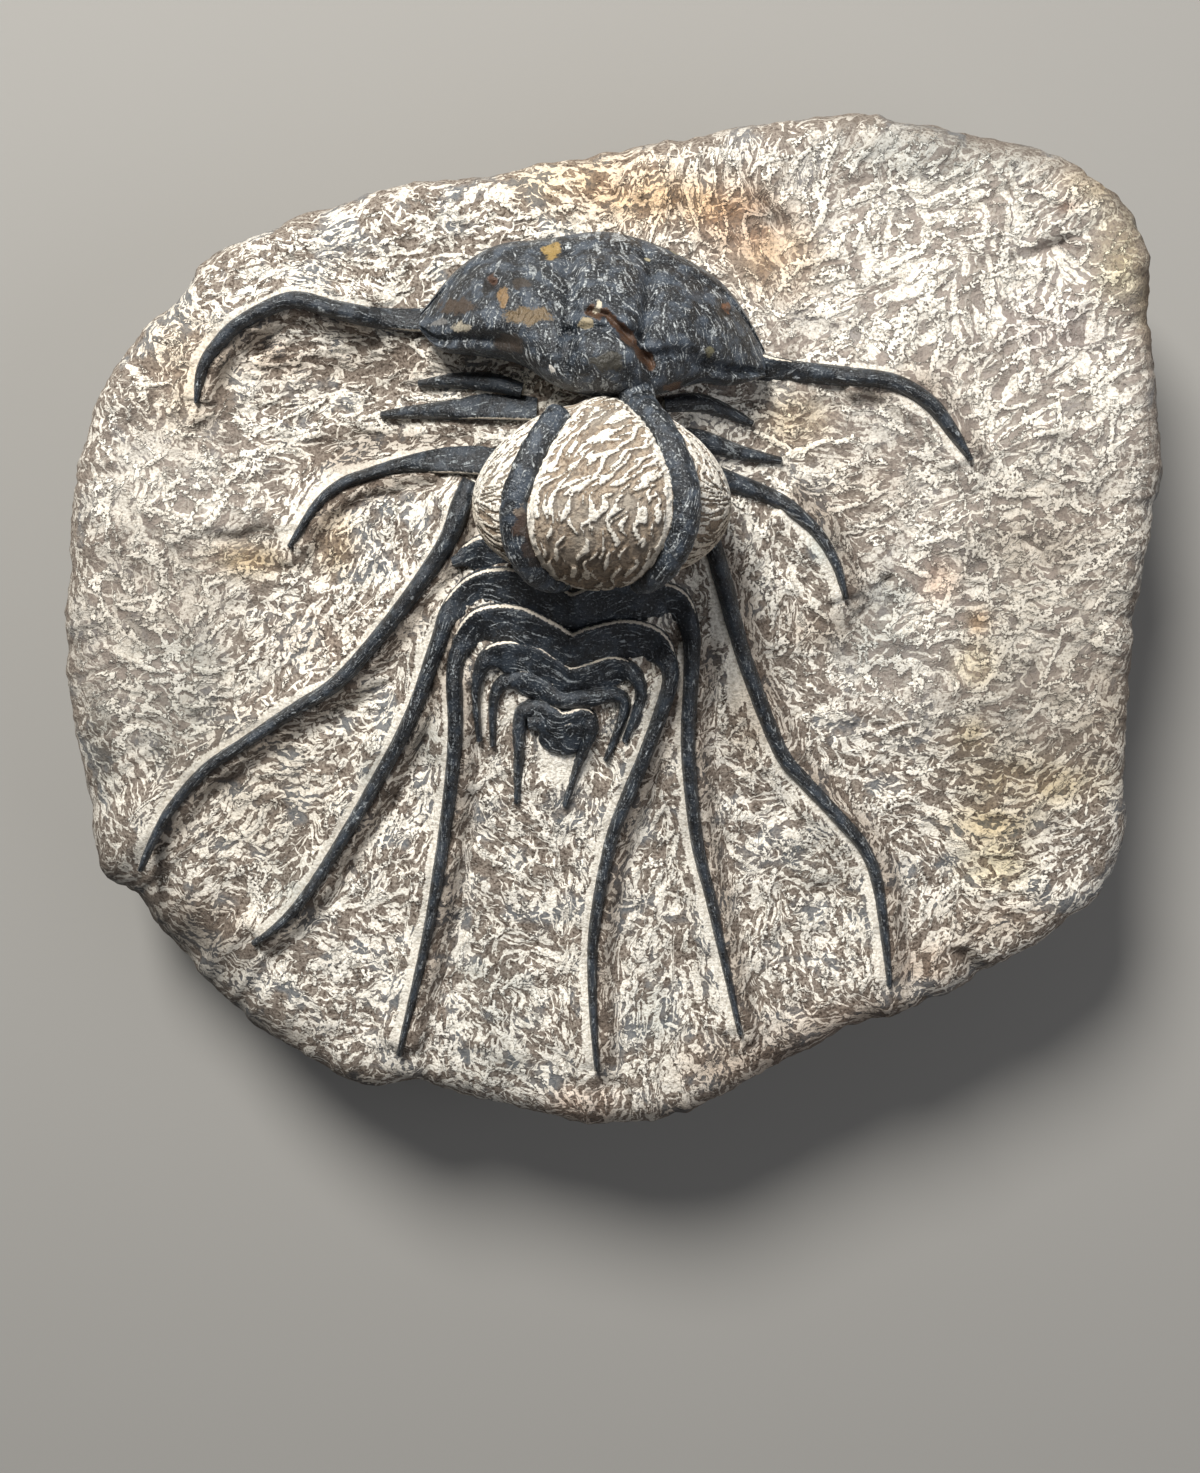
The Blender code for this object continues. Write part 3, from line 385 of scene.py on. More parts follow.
# The lie of the face: swells, lumps, banks under the spines and hollows between them
face = sum(h * np.exp(-((X - cx) / rx) ** 2 - ((Y - cy) / ry) ** 2) for cx, cy, rx, ry, h in SWELLS)
coarse = np.array([
    [noise.noise(Vector((x, y, 0)) / LUMP_SIZE) + 0.5 * noise.noise(Vector((x, y, 40)) * 2 / LUMP_SIZE)
     for x in xs[::LUMP_STEPS]] for y in ys[::LUMP_STEPS]
])
u, v = np.arange(len(xs)) / LUMP_STEPS, np.arange(len(ys)) / LUMP_STEPS
rows = np.array([np.interp(u, np.arange(coarse.shape[1]), line) for line in coarse])
lumps = np.array([np.interp(v, np.arange(rows.shape[0]), rows[:, k]) for k in range(rows.shape[1])]).T
face += LUMP_HEIGHT * lumps
run_x, run_y = np.zeros_like(X), np.zeros_like(X)
for x, y, reach, angle in STROKE_RUNS:
    share = np.exp(-((X - x) ** 2 + (Y - y) ** 2) / (0.6 * reach) ** 2)
    run_x += share * math.cos(math.radians(2 * angle))
    run_y += share * math.sin(math.radians(2 * angle))
margin, bank, bank_shade = np.zeros_like(X), np.zeros_like(X), np.zeros_like(X)
for rows in BANKED_PATHS:
    distance, side, along, angle = near(rows, BANK_SEEN)
    fade = smooth(0, 0.06, along) * (1 - smooth(0.97, 1.0, along) * 0.4)
    # The bank is steep on the right of each spine and long on the left. The right side, away from the lamp,
    # is painted brown as painted shade. The chalky margin is painted full on the lit left side and thin on
    # the right, so it is partly painted light
    lit_gentle_side = smooth(-0.3, 0.3, side * (np.sin(angle) + 0.4 * np.cos(angle)))
    foot = STEEP_FOOT + (BANK_FOOT - STEEP_FOOT) * lit_gentle_side
    bank = np.maximum(bank, BANK_HEIGHT * (1 - smooth(BANK_TOP, foot, distance)) * fade)
    bank_shade = np.maximum(bank_shade, (1 - lit_gentle_side) * (1 - smooth(1.8, 4.8, distance + 0.6 * cloud(3, 6))) * fade)
    share = (1 - smooth(1.3, 2.5, distance + 0.4 * cloud(1.6, 5))) * (0.25 + 0.75 * lit_gentle_side)
    margin = np.maximum(margin, share * fade)
    # Beside a spine the tool ran along it
    share = 6 * (1 - smooth(1.5, 4.0, distance))
    run_x += share * np.cos(2 * angle)
    run_y += share * np.sin(2 * angle)
face += bank
run = 0.5 * np.arctan2(run_y, run_x) + 0.35 * cloud(7, 3)
for x, y, wide, high in CHALK:
    margin = np.maximum(margin, np.exp(-(((X - x) / wide) ** 2 + ((Y - y) / high) ** 2) ** 1.5))
net = np.clip(sum(np.exp(-((X - x) ** 2 + (Y - y) ** 2) / r ** 2) for x, y, r in NET_PATCHES), 0, 1)

# How far a stroke of the net turns from the run, in radians, and how many are laid at once
NET_TURN, STROKES_AT_ONCE = 0.65, 1500


def add_strokes(marks, count, length, width, wander, seed, where=None):
    """Lays short raised tool strokes over the face, along the way the tool ran there."""
    generator = np.random.default_rng(seed)
    half = int(length[1] / 2 / STEP) + 2
    grid = np.arange(-half, half + 1)
    dx, dy = (g.ravel() for g in np.meshgrid(grid, grid))
    for start in range(0, count, STROKES_AT_ONCE):
        n = min(STROKES_AT_ONCE, count - start)
        i = generator.integers(half, len(xs) - half, n)
        j = generator.integers(half, len(ys) - half, n)
        turn = generator.normal(0, wander, n)
        crossing = np.where(generator.random(n) < 0.5, NET_TURN, -NET_TURN) * net[j, i]
        angle = run[j, i] + turn + crossing
        long = generator.uniform(*length, n) / 2
        wide = generator.uniform(*width, n) / 2
        bend = generator.normal(0, 0.05, n)
        height = generator.uniform(0.6, 1.0, n)
        if where is not None:
            height = height * (where[j, i] > generator.random(n))
        cos, sin = np.cos(angle)[:, None], np.sin(angle)[:, None]
        px, py = dx * STEP, dy * STEP
        along = px * cos + py * sin
        across = py * cos - px * sin + bend[:, None] * along ** 2
        taper = np.clip(1 - (along / long[:, None]) ** 2, 0, 1)
        rise = np.clip(1 - (across / wide[:, None]) ** 2 / np.maximum(taper, 1e-3), 0, 1)
        rise = height[:, None] * np.sqrt(rise) * (taper > 0)
        np.maximum.at(marks, (j[:, None] + dy, i[:, None] + dx), rise)


# The pits have ragged sides, and the strokes lie over them
for x, y, long, wide, angle, depth in PITS:
    cos, sin = math.cos(math.radians(angle)), math.sin(math.radians(angle))
    along, across = (X - x) * cos + (Y - y) * sin, (Y - y) * cos - (X - x) * sin
    across = across + 0.5 * wide * cloud(2.5, 31)
    face -= depth * np.exp(-(along / long) ** 2 - (across / wide) ** 2)
marks = np.zeros_like(X)
add_strokes(marks, count=5200, length=(2.0, 4.6), width=(0.6, 1.05), wander=0.5, seed=21)
add_strokes(marks, count=2600, length=(4.0, 8.0), width=(0.7, 1.2), wander=0.3, seed=22, where=net)
STROKE_HEIGHT, KNOB_HEIGHT, KNOB_SIZE = 0.45, 0.35, 2.6
worked = (1 - 0.75 * margin)
face += STROKE_HEIGHT * marks * worked + KNOB_HEIGHT * cloud(KNOB_SIZE, 9, 2) * worked

# The skin of the slab: a dense face, a rounded rim, walls and the flat sawn back
FACE_CELLS, WALL_RINGS = 262, 9
RIM_TURNS = np.linspace(0, 1, 12)[1:]
# How deep the broken walls are, and the sizes of their faces with the share of each
BREAK_DEPTH, BREAK_SIZES = 0.9, ((7, 1.0), (3, 0.6), (1.3, 0.3))
outline = curve_through(OUTLINE, 1.0, closed=True)


def rim_distance(angles):
    """How far the outline is from the rim centre in these directions."""
    ahead = np.roll(outline, -1, axis=0)
    edge = ahead - outline
    start = outline - RIM_CENTRE
    dx, dy = np.cos(angles)[:, None], np.sin(angles)[:, None]
    cross = dx * edge[:, 1] - dy * edge[:, 0]
    distance = (start[:, 0] * edge[:, 1] - start[:, 1] * edge[:, 0]) / cross
    along = (start[:, 0] * dy - start[:, 1] * dx) / cross
    good = (distance > 0) & (along >= -1e-6) & (along <= 1 + 1e-6)
    return np.where(good, distance, 0).max(1)


half = FACE_CELLS // 2
line = np.arange(-half, half + 1)
A, B = np.meshgrid(line, line)
ring = np.maximum(np.abs(A), np.abs(B))
with np.errstate(divide="ignore", invalid="ignore"):
    turn = np.where(
        np.abs(A) >= np.abs(B), np.where(A >= 0, 0, math.pi) + math.pi / 4 * B / np.where(A == 0, 1, A),
        np.where(B >= 0, 1, -1) * math.pi / 2 - math.pi / 4 * A / np.where(B == 0, 1, B),
    )
turn = turn.ravel()
ring = ring.ravel() / half


def rim_shape(angles):
    """Reach of the rim in these directions, and its rounding there."""
    away = np.arctan2(np.sin(angles - CORNER_ANGLE), np.cos(angles - CORNER_ANGLE))
    share = np.exp(-(away / CORNER_SPREAD) ** 2)
    inset = EDGE_INSET + (CORNER_INSET - EDGE_INSET) * share
    drop = EDGE_DROP + (CORNER_DROP - EDGE_DROP) * share
    return rim_distance(angles), inset, drop


reach, inset, drop = rim_shape(turn)
x = RIM_CENTRE[0] + ring * (reach - inset) * np.cos(turn)
y = RIM_CENTRE[1] + ring * (reach - inset) * np.sin(turn)
points = [np.stack([x, y, THICKNESS + sample(face, x, y)], 1)]
side = FACE_CELLS + 1
index = np.arange(side * side).reshape(side, side)
loops = [np.stack([index[:-1, :-1], index[:-1, 1:], index[1:, 1:], index[1:, :-1]], -1).reshape(-1, 4)]
border = np.concatenate([index[0, :-1], index[:-1, -1], index[-1, :0:-1], index[:0:-1, 0]])
angles = turn[border]
reach, inset, drop = rim_shape(angles)
top = points[0][border, 2]
count = len(border)
last = border
start = side * side
cos, sin = np.cos(angles), np.sin(angles)
for share in RIM_TURNS:
    distance = reach - inset * (1 - math.sin(share * math.pi / 2))
    x, y = RIM_CENTRE[0] + distance * cos, RIM_CENTRE[1] + distance * sin
    down = drop * (1 - math.cos(share * math.pi / 2))
    points.append(np.stack([x, y, top - down], 1))
low = points[-1][:, 2]
for share in np.linspace(0, 1, WALL_RINGS + 1)[1:]:
    distance = reach - WALL_INSET * share
    points.append(np.stack([RIM_CENTRE[0] + distance * cos, RIM_CENTRE[1] + distance * sin,
                            low + (WALL_FOOT - low) * share], 1))
for share in (0.5, 1.0):
    distance = reach - WALL_INSET - (BACK_INSET - WALL_INSET) * share
    points.append(np.stack([RIM_CENTRE[0] + distance * cos, RIM_CENTRE[1] + distance * sin,
                            np.full(count, WALL_FOOT * (1 - share))], 1))
for k in range(len(points) - 1):
    here = start + np.arange(count)
    loops.append(np.stack([last, np.roll(last, -1), np.roll(here, -1), here], -1))
    last = here
    start += count
co = np.concatenate(points)
# The walls were broken and not worked, and the flat back was sawn
wall = np.zeros(len(co))
wall[side * side:] = np.clip(np.arange(len(co) - side * side) // count / (len(RIM_TURNS) - 1), 0, 1)
broken = np.array([
    sum(part * noise.noise(Vector(p) / size) for size, part in BREAK_SIZES) if w > 0 else 0.0
    for p, w in zip(co, wall)
])
inward = np.array(RIM_CENTRE) - co[:, :2]
inward /= np.maximum(np.linalg.norm(inward, axis=1), 1)[:, None]
co[:-2 * count, :2] += (inward * (BREAK_DEPTH * wall * (broken + 0.25))[:, None])[:-2 * count]


def add_mesh(name, co, faces):
    """A mesh object from points in millimetres."""
    mesh = bpy.data.meshes.new(name)
    mesh.from_pydata((np.asarray(co) * MM).tolist(), [], faces)
    mesh.validate()
    mesh.shade_smooth()
    return add_to_scene(name, mesh)


def outward(obj):
    """Turns all faces of a closed piece outward."""
    bm = bmesh.new()
    bm.from_mesh(obj.data)
    bmesh.ops.recalc_face_normals(bm, faces=bm.faces)
    bm.to_mesh(obj.data)
    bm.free()


def add_attribute(obj, name, values):
    """Keeps a number or a direction for each point of the mesh, for the material to read."""
    values = np.asarray(values, np.float32)
    kind, key = ("FLOAT", "value") if values.ndim == 1 else ("FLOAT_VECTOR", "vector")
    made = obj.data.attributes.new(name, kind, "POINT")
    made.data.foreach_set(key, values.ravel())


faces = np.concatenate(loops).tolist() + [last.tolist()]
slab = add_mesh("limestone_slab", co, faces)
outward(slab)
x, y = co[:, 0], co[:, 1]
# The scribe's marks stop at the rim, and the walls carry none
add_attribute(slab, "run", np.stack([np.cos(sample(run, x, y)), np.sin(sample(run, x, y)), 0 * x], 1))
add_attribute(slab, "marks", sample(marks * worked, x, y) * (1 - wall))
add_attribute(slab, "margin", sample(margin, x, y))
add_attribute(slab, "net", sample(net, x, y) * (1 - wall))
add_attribute(slab, "streaks", (1 - 0.6 * sample(net, x, y)) * (1 - 0.85 * wall ** 2))
tint = np.ones((len(co), 3))
for stain_x, stain_y, wide, high, code in STAINS_AND_SHADE:
    share = np.exp(-(((x - stain_x) / wide) ** 2 + ((y - stain_y) / high) ** 2) ** 1.3)[:, None]
    tint *= 1 - STAIN_AND_SHADE_STRENGTH * share * (1 - np.array(linear(code)[:3]))
# Painted shade on the steep right side of each bank, away from the lamp
tint *= 1 - STAIN_AND_SHADE_STRENGTH * sample(bank_shade, x, y)[:, None] * (1 - np.array(linear(BANK_SHADE_BROWN)[:3]))
add_attribute(slab, "tint", tint)


def begin_worked_material(name):
    """A new material, with its shader, the place in millimetres, and the tool's run and the way across it."""
    made = bpy.data.materials.new(name)
    made.use_nodes = True
    tree = made.node_tree
    place = node(tree, "TexCoord").outputs["Object"]
    place = node(tree, "VectorMath", {0: place, "Scale": 1 / MM}, operation="SCALE")
    run = node(tree, "Attribute", attribute_name="run").outputs["Vector"]
    normal = node(tree, "NewGeometry").outputs["Normal"]
    across = node(tree, "VectorMath", {0: normal, 1: run}, operation="CROSS_PRODUCT")
    return made, tree, tree.nodes["Principled BSDF"], place, run, across


def tool_strokes(tree, place, run, across, cell, long, wide, wander, seed):
    """Streaks along the run of the tool, in cells of the rock that each have their own streaks and turn."""
    moved = node(tree, "VectorMath", {0: place, 1: (seed * 37, seed * 11, seed * 5)})
    cells = node(tree, "TexVoronoi", {"Vector": moved, "Scale": 1 / cell, "Randomness": 1.0})
    local = node(tree, "VectorMath", {0: moved, 1: cells.outputs["Position"]}, operation="SUBTRACT")
    along = node(tree, "VectorMath", {0: local, 1: run}, operation="DOT_PRODUCT")
    aside = node(tree, "VectorMath", {0: local, 1: across}, operation="DOT_PRODUCT")
    flat = node(tree, "CombineXYZ", {"X": along, "Y": aside})
    own = node(tree, "SeparateColor", {"Color": cells.outputs["Color"]})
    angle = node(tree, "Math", {0: own, 1: wander, 2: -wander / 2}, operation="MULTIPLY_ADD")
    turned = node(tree, "VectorRotate", {"Vector": flat, "Angle": angle}, rotation_type="Z_AXIS")
    scaled = node(tree, "VectorMath", {0: turned, 1: (1 / long, 1 / wide, 1)}, operation="MULTIPLY")
    # Each cell's colour sends it to its own part of the noise
    apart = node(tree, "VectorMath", {0: cells.outputs["Color"], 1: (60, 60, 60), 2: scaled},
                 operation="MULTIPLY_ADD")
    return node(tree, "TexNoise", {"Vector": apart, "Scale": 1.0, "Detail": 1.5})


def limestone(name, deep, mid, light, bluish):
    """Limestone worked with an air scribe: chalky bruised strokes over browner, slightly crystalline rock."""
    made, tree, shader, place, run, across = begin_worked_material(name)
    marks, margin, net, streaks = (
        node(tree, "Attribute", attribute_name=key).outputs["Fac"]
        for key in ("marks", "margin", "net", "streaks"))
    tint = node(tree, "Attribute", attribute_name="tint").outputs["Color"]
    # Grain of 0.4 mm, coarser than the real 0.1 mm so that it shows, patches of 6 mm, and a sway of 1 mm
    fine = node(tree, "TexNoise", {"Vector": place, "Scale": 2.4, "Detail": 5.0, "Roughness": 0.62})
    broad = node(tree, "TexNoise", {"Vector": place, "Scale": 0.17, "Detail": 3.0})
    sway = node(tree, "TexNoise", {"Vector": place, "Scale": 0.9, "Detail": 1.0}).outputs["Color"]
    bent = node(tree, "VectorMath", {0: sway, 1: (1.1, 1.1, 1.1), 2: place}, operation="MULTIPLY_ADD")
    shift = node(tree, "Math", {0: broad, 1: 0.16, 2: -0.08}, operation="MULTIPLY_ADD")
    # Three sorts of strokes: cell, length and width in millimetres, their turn, seed, threshold and cover
    crest = None
    for cell, long, wide, wander, seed, low, share in (
        (6.5, 3.8, 0.82, 1.3, 1, 0.525, streaks), (4.4, 2.5, 0.62, 2.6, 2, 0.58, streaks),
        (9.0, 7.0, 1.15, 2.2, 5, 0.505, net),
    ):
        streak = tool_strokes(tree, bent, run, across, cell, long, wide, wander, seed)
        streak = node(tree, "Math", {0: streak, 1: shift})
        streak = node(tree, "MapRange", {"Value": streak, "From Min": low, "From Max": low + 0.04},
                      interpolation_type="SMOOTHSTEP")
        streak = node(tree, "Math", {0: streak, 1: share}, operation="MULTIPLY")
        crest = node(tree, "Math", {0: crest, 1: streak}, operation="MAXIMUM") if crest else streak
    rough = node(tree, "Math", {0: fine, 1: 1.3, 2: marks}, operation="MULTIPLY_ADD")
    ridge = node(tree, "MapRange", {"Value": rough, "From Min": 1.16, "From Max": 1.36},
                 interpolation_type="SMOOTHSTEP")
    crest = node(tree, "Math", {0: crest, 1: ridge}, operation="MAXIMUM")
    worn = node(tree, "MapRange", {"Value": fine, "From Min": 0.3, "From Max": 0.46, "To Min": 0.35},
                interpolation_type="SMOOTHSTEP")
    crest = node(tree, "Math", {0: crest, 1: worn}, operation="MULTIPLY")
    rim = node(tree, "Math", {0: fine, 1: 0.9, 2: margin}, operation="MULTIPLY_ADD")
    rim = node(tree, "MapRange", {"Value": rim, "From Min": 0.85, "From Max": 1.15, "To Max": 0.9},
               interpolation_type="SMOOTHSTEP")
    crest = node(tree, "Math", {0: crest, 1: rim}, operation="MAXIMUM")
    hollow, white = linear(deep), linear("#c4bcae")
    for value, low, high, most, code in (
        (fine, 0.36, 0.5, 1.0, mid), (fine, 0.52, 0.64, 0.7, light), (broad, 0.52, 0.62, 0.6, bluish),
        (net, 0.0, 1.0, 0.6, "#a59b93"),
    ):
        share = node(tree, "MapRange", {"Value": value, "From Min": low, "From Max": high, "To Max": most})
        hollow = node(tree, "Mix", {"Factor": share, 6: hollow, 7: linear(code)}, data_type="RGBA")
    share = node(tree, "MapRange", {"Value": fine, "From Min": 0.38, "From Max": 0.58})
    white = node(tree, "Mix", {"Factor": share, 6: white, 7: linear("#f0ebe0")}, data_type="RGBA")
    colour = node(tree, "Mix", {"Factor": crest, 6: hollow, 7: white}, data_type="RGBA")
    # Painted shade: a dark line where each stroke meets the hollow beside it, standing in for the shadow in
    # the crevice at its foot
    foot = node(tree, "Math", {
        0: node(tree, "MapRange", {"Value": crest, "From Min": 0.02, "From Max": 0.2}),
        1: node(tree, "MapRange", {"Value": crest, "From Min": 0.6, "From Max": 0.25, "To Max": 0.6}),
    }, operation="MULTIPLY")
    colour = node(tree, "Mix", {"Factor": foot, 6: colour, 7: linear("#4c3e33")}, data_type="RGBA")
    # The stains, and the painted shade held in the tint with them, are laid on unevenly
    patchy = node(tree, "Math", {0: fine, 1: 0.7, 2: broad}, operation="MULTIPLY_ADD")
    patchy = node(tree, "MapRange", {
        "Value": patchy, "From Min": 0.6, "From Max": 0.95, "To Min": 0.3, "To Max": 0.85})
    tinted = node(tree, "Mix", {"Factor": 1.0, 6: colour, 7: tint}, data_type="RGBA", blend_type="MULTIPLY")
    colour = node(tree, "Mix", {"Factor": patchy, 6: colour, 7: tinted}, data_type="RGBA")
    tree.links.new(colour.outputs[2], shader.inputs["Base Color"])
    shader.inputs["Roughness"].default_value = 0.88
    shader.inputs["Specular IOR Level"].default_value = 0.3
    height = node(tree, "Math", {0: fine, 1: 0.9, 2: ridge}, operation="MULTIPLY_ADD")
    bump = node(tree, "Bump", {"Height": height, "Distance": 0.3 * MM, "Strength": 1.0})
    tree.links.new(bump.outputs[0], shader.inputs["Normal"])
    return made


# Dull and dry: white where the tool bruised the rock, brown and bluish grey where it was left
stone = limestone("air_scribed_limestone", "#41362c", "#7d7268", "#a59c8f", "#6a7278")
slab.data.materials.append(stone)
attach(slab, "root")
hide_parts("limestone_block")

# The ball of rock between the horns.
# The preparer left this lump of limestone standing to carry the two coiled horns: a worked egg between them
# and a lower wing outside each. It is one with the slab, through a neck that stands in its own shadow.
BALL_CENTRE = (-0.3, 22.8, THICKNESS + 18.0)
BALL_RADII = (17.2, 12.4, 14.5)
BALL_TAPER = 0.13
BALL_CELLS = 100
HORN_NEAREST, HORN_BOW, HORN_BOW_POWER = 15.0, 24.0, 1.3
HORN_LEAN = {"left": 8.0, "right": -5.0}
BALL_SCALE = 14.5
GROOVE_DEPTH, GROOVE_WIDTH, WING_DROP = 0.7, 2.2, 0.7
RIDGE_HEIGHT, RIDGE_LONG, RIDGE_WIDE, CROSS_LONG, CROSS_WIDE = 0.36, 3.6, 0.58, 2.2, 0.7


def horn_spread(side, turn):
    """How far a horn stands from the ball's middle line at this turn, as an angle."""
    bow = np.maximum(0, np.cos(turn - math.radians(HORN_LEAN[side]))) ** HORN_BOW_POWER
    return np.radians(HORN_NEAREST + HORN_BOW * bow)


def ball_place(spread, turn, rise=0.0):
    """A place on the ball from its two angles and its rise in millimetres, and the direction outward."""
    way = np.stack([np.sin(spread), -np.cos(spread) * np.sin(turn), np.cos(spread) * np.cos(turn)], -1)
    offset = way * (np.array(BALL_RADII) + np.asarray(rise)[..., None])
    offset[..., 0] *= 1 - BALL_TAPER * way[..., 1]
    return np.array(BALL_CENTRE) + offset, way


bm = bmesh.new()
bmesh.ops.create_cube(bm, size=2.0)
bmesh.ops.subdivide_edges(bm, edges=bm.edges, cuts=BALL_CELLS - 1, use_grid_fill=True)
ball_mesh = bpy.data.meshes.new("ball")
bm.to_mesh(ball_mesh)
bm.free()
way = np.array([vertex.co for vertex in ball_mesh.vertices])
way = np.tan(way * math.pi / 4)
way /= np.linalg.norm(way, axis=1)[:, None]
spread = np.arcsin(np.clip(way[:, 0], -1, 1))
turn = np.arctan2(-way[:, 1], way[:, 2])
horn_line = np.where(spread > 0, horn_spread("right", turn), horn_spread("left", turn))
aside = (np.abs(spread) - horn_line) * BALL_SCALE
groove = np.exp(-(aside / GROOVE_WIDTH) ** 2)
wing = smooth(0.5, 3.0, aside)
upper = smooth(0.15, -0.35, turn)
tilt = np.where(wing > 0.5, np.sign(spread) * (1.1 - 0.5 * upper), -0.05 - 0.45 * upper)
u = turn * BALL_SCALE * np.cos(tilt) + spread * BALL_SCALE * np.sin(tilt)
v = spread * BALL_SCALE * np.cos(tilt) - turn * BALL_SCALE * np.sin(tilt)
sway = np.array([noise.noise(Vector((a, b, 5)) / 3) for a, b in zip(u, v)])
# Long wavy ridges, with shorter ones crossing them on the upper half
ripple = np.array([
    max(noise.noise(Vector((a / RIDGE_LONG, b / wide, 3))),
        crossing * noise.noise(Vector((a / CROSS_LONG, (b + 0.5 * a) / CROSS_WIDE, 9))) - 0.05)
    for a, b, crossing, wide in zip(u, v + 0.9 * sway, 0.3 + 0.7 * upper, RIDGE_WIDE + 0.34 * wing)
])
ridge = smooth(0.02 - 0.1 * wing, 0.2 - 0.1 * wing, ripple)
rise = -GROOVE_DEPTH * groove - WING_DROP * wing + RIDGE_HEIGHT * (ridge - 0.5) * (1 - groove)
co, _ = ball_place(spread, turn, rise)
faces = [tuple(face.vertices) for face in ball_mesh.polygons]
bpy.data.meshes.remove(ball_mesh)
ball = add_mesh("limestone_ball", co, faces)
outward(ball)
around = np.stack([0 * turn, -np.cos(turn), -np.sin(turn)], -1)
outer = np.stack([np.cos(spread), np.sin(spread) * np.sin(turn), -np.sin(spread) * np.cos(turn)], -1)
add_attribute(ball, "run", around * np.cos(tilt)[:, None] + outer * np.sin(tilt)[:, None])
add_attribute(ball, "marks", 0.9 * ridge)
add_attribute(ball, "streaks", 0.25 + 0 * turn)
# Painted shade: the ball is darker on its lower half, towards the tail and away from the lamp
shade = smooth(0.1, 0.9, turn)[:, None]
add_attribute(ball, "tint", 1 - shade * (1 - np.array(linear("#cbbfb0")[:3])))
add_attribute(ball, "margin", np.exp(-((np.abs(aside) - 2.2) / 0.55) ** 2))
# The same rock worked closer, so it looks warmer and more even, with white along the tops of its ridges. Its
# hollows are also painted lighter than the slab's, as painted light on the ball
ball.data.materials.append(
    limestone("close_scribed_painted_lit_limestone", "#6a5a4b", "#a0917f", "#b7a998", "#9c968c"))
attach(ball, "root")
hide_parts("limestone_block")

# The thorax: eight jointed plates, each drawn out on both sides into a spine.
# Dark blue-black calcite shell. The four rear plates show whole below the ball and overlap like stair treads,
# with pale rock left along each front edge. Of the four front ones only the ends come out from the ball.
SPINE_SINK = 0.45
KNUCKLE_HEIGHT, KNUCKLE_LINE, KNUCKLE_REACH = 0.7, -4.0, 1.7


def shell(name, deep, light, bluish, scratches, scratch_low, dusty):
    """Calcite shell, blue-black and dull, with the pale scratches and dust that the air scribe left on it."""
    made, tree, shader, place, run, across = begin_worked_material(name)
    edge = node(tree, "Attribute", attribute_name="edge").outputs["Fac"]
    spot = node(tree, "Attribute", attribute_name="spot").outputs["Color"]
    spot_share = node(tree, "Attribute", attribute_name="spot_share").outputs["Fac"]
    # Grain of 0.3 mm and clouds of 2 mm. Scratches of 2 to 3 mm run along the shell, and are drawn 0.2 mm
    # wide because the real 0.1 mm wouldn't show
    fine = node(tree, "TexNoise", {"Vector": place, "Scale": 3.2, "Detail": 4.0, "Roughness": 0.6})
    broad = node(tree, "TexNoise", {"Vector": place, "Scale": 0.45, "Detail": 3.0})
    scratch = tool_strokes(tree, place, run, across, 4.0, 2.6, 0.4, 0.8, 3)
    scratch = node(tree, "MapRange", {
        "Value": scratch, "From Min": scratch_low, "From Max": scratch_low + 0.05},
        interpolation_type="SMOOTHSTEP")
    worn = node(tree, "MapRange", {"Value": fine, "From Min": 0.38, "From Max": 0.6})
    scratch = node(tree, "Math", {0: scratch, 1: worn}, operation="MULTIPLY")
    dust = node(tree, "MapRange", {"Value": fine, "From Min": 0.58, "From Max": 0.68, "To Max": dusty},
                interpolation_type="SMOOTHSTEP")
    pale = node(tree, "Math", {0: scratch, 1: dust}, operation="MAXIMUM")
    spotted = node(tree, "Math", {0: fine, 1: 0.9, 2: spot_share}, operation="MULTIPLY_ADD")
    spotted = node(tree, "MapRange", {"Value": spotted, "From Min": 0.8, "From Max": 1.02, "To Max": 0.92},
                   interpolation_type="SMOOTHSTEP")
    rimmed = node(tree, "Math", {0: fine, 1: 1.3, 2: edge}, operation="MULTIPLY_ADD")
    rimmed = node(tree, "MapRange", {"Value": rimmed, "From Min": 1.15, "From Max": 1.4},
                  interpolation_type="SMOOTHSTEP")
    colour = linear(deep)
    for share, over in (
        (node(tree, "MapRange", {"Value": fine, "From Min": 0.35, "From Max": 0.62}), linear(light)),
        (node(tree, "MapRange", {"Value": broad, "From Min": 0.46, "From Max": 0.62, "To Max": 0.7}),
         linear(bluish)),
        (pale, linear(scratches)), (spotted, spot), (rimmed, linear("#e2d8c8")),
    ):
        colour = node(tree, "Mix", {"Factor": share, 6: colour, 7: over}, data_type="RGBA")
    tree.links.new(colour.outputs[2], shader.inputs["Base Color"])
    gloss = node(tree, "MapRange", {
        "Value": fine, "From Min": 0.35, "From Max": 0.65, "To Min": 0.26, "To Max": 0.5})
    tree.links.new(gloss.outputs[0], shader.inputs["Roughness"])
    height = node(tree, "Math", {0: fine, 1: 1.0, 2: scratch}, operation="MULTIPLY_ADD")
    bump = node(tree, "Bump", {"Height": height, "Distance": 0.3 * MM, "Strength": 0.8})
    tree.links.new(bump.outputs[0], shader.inputs["Normal"])
    return made


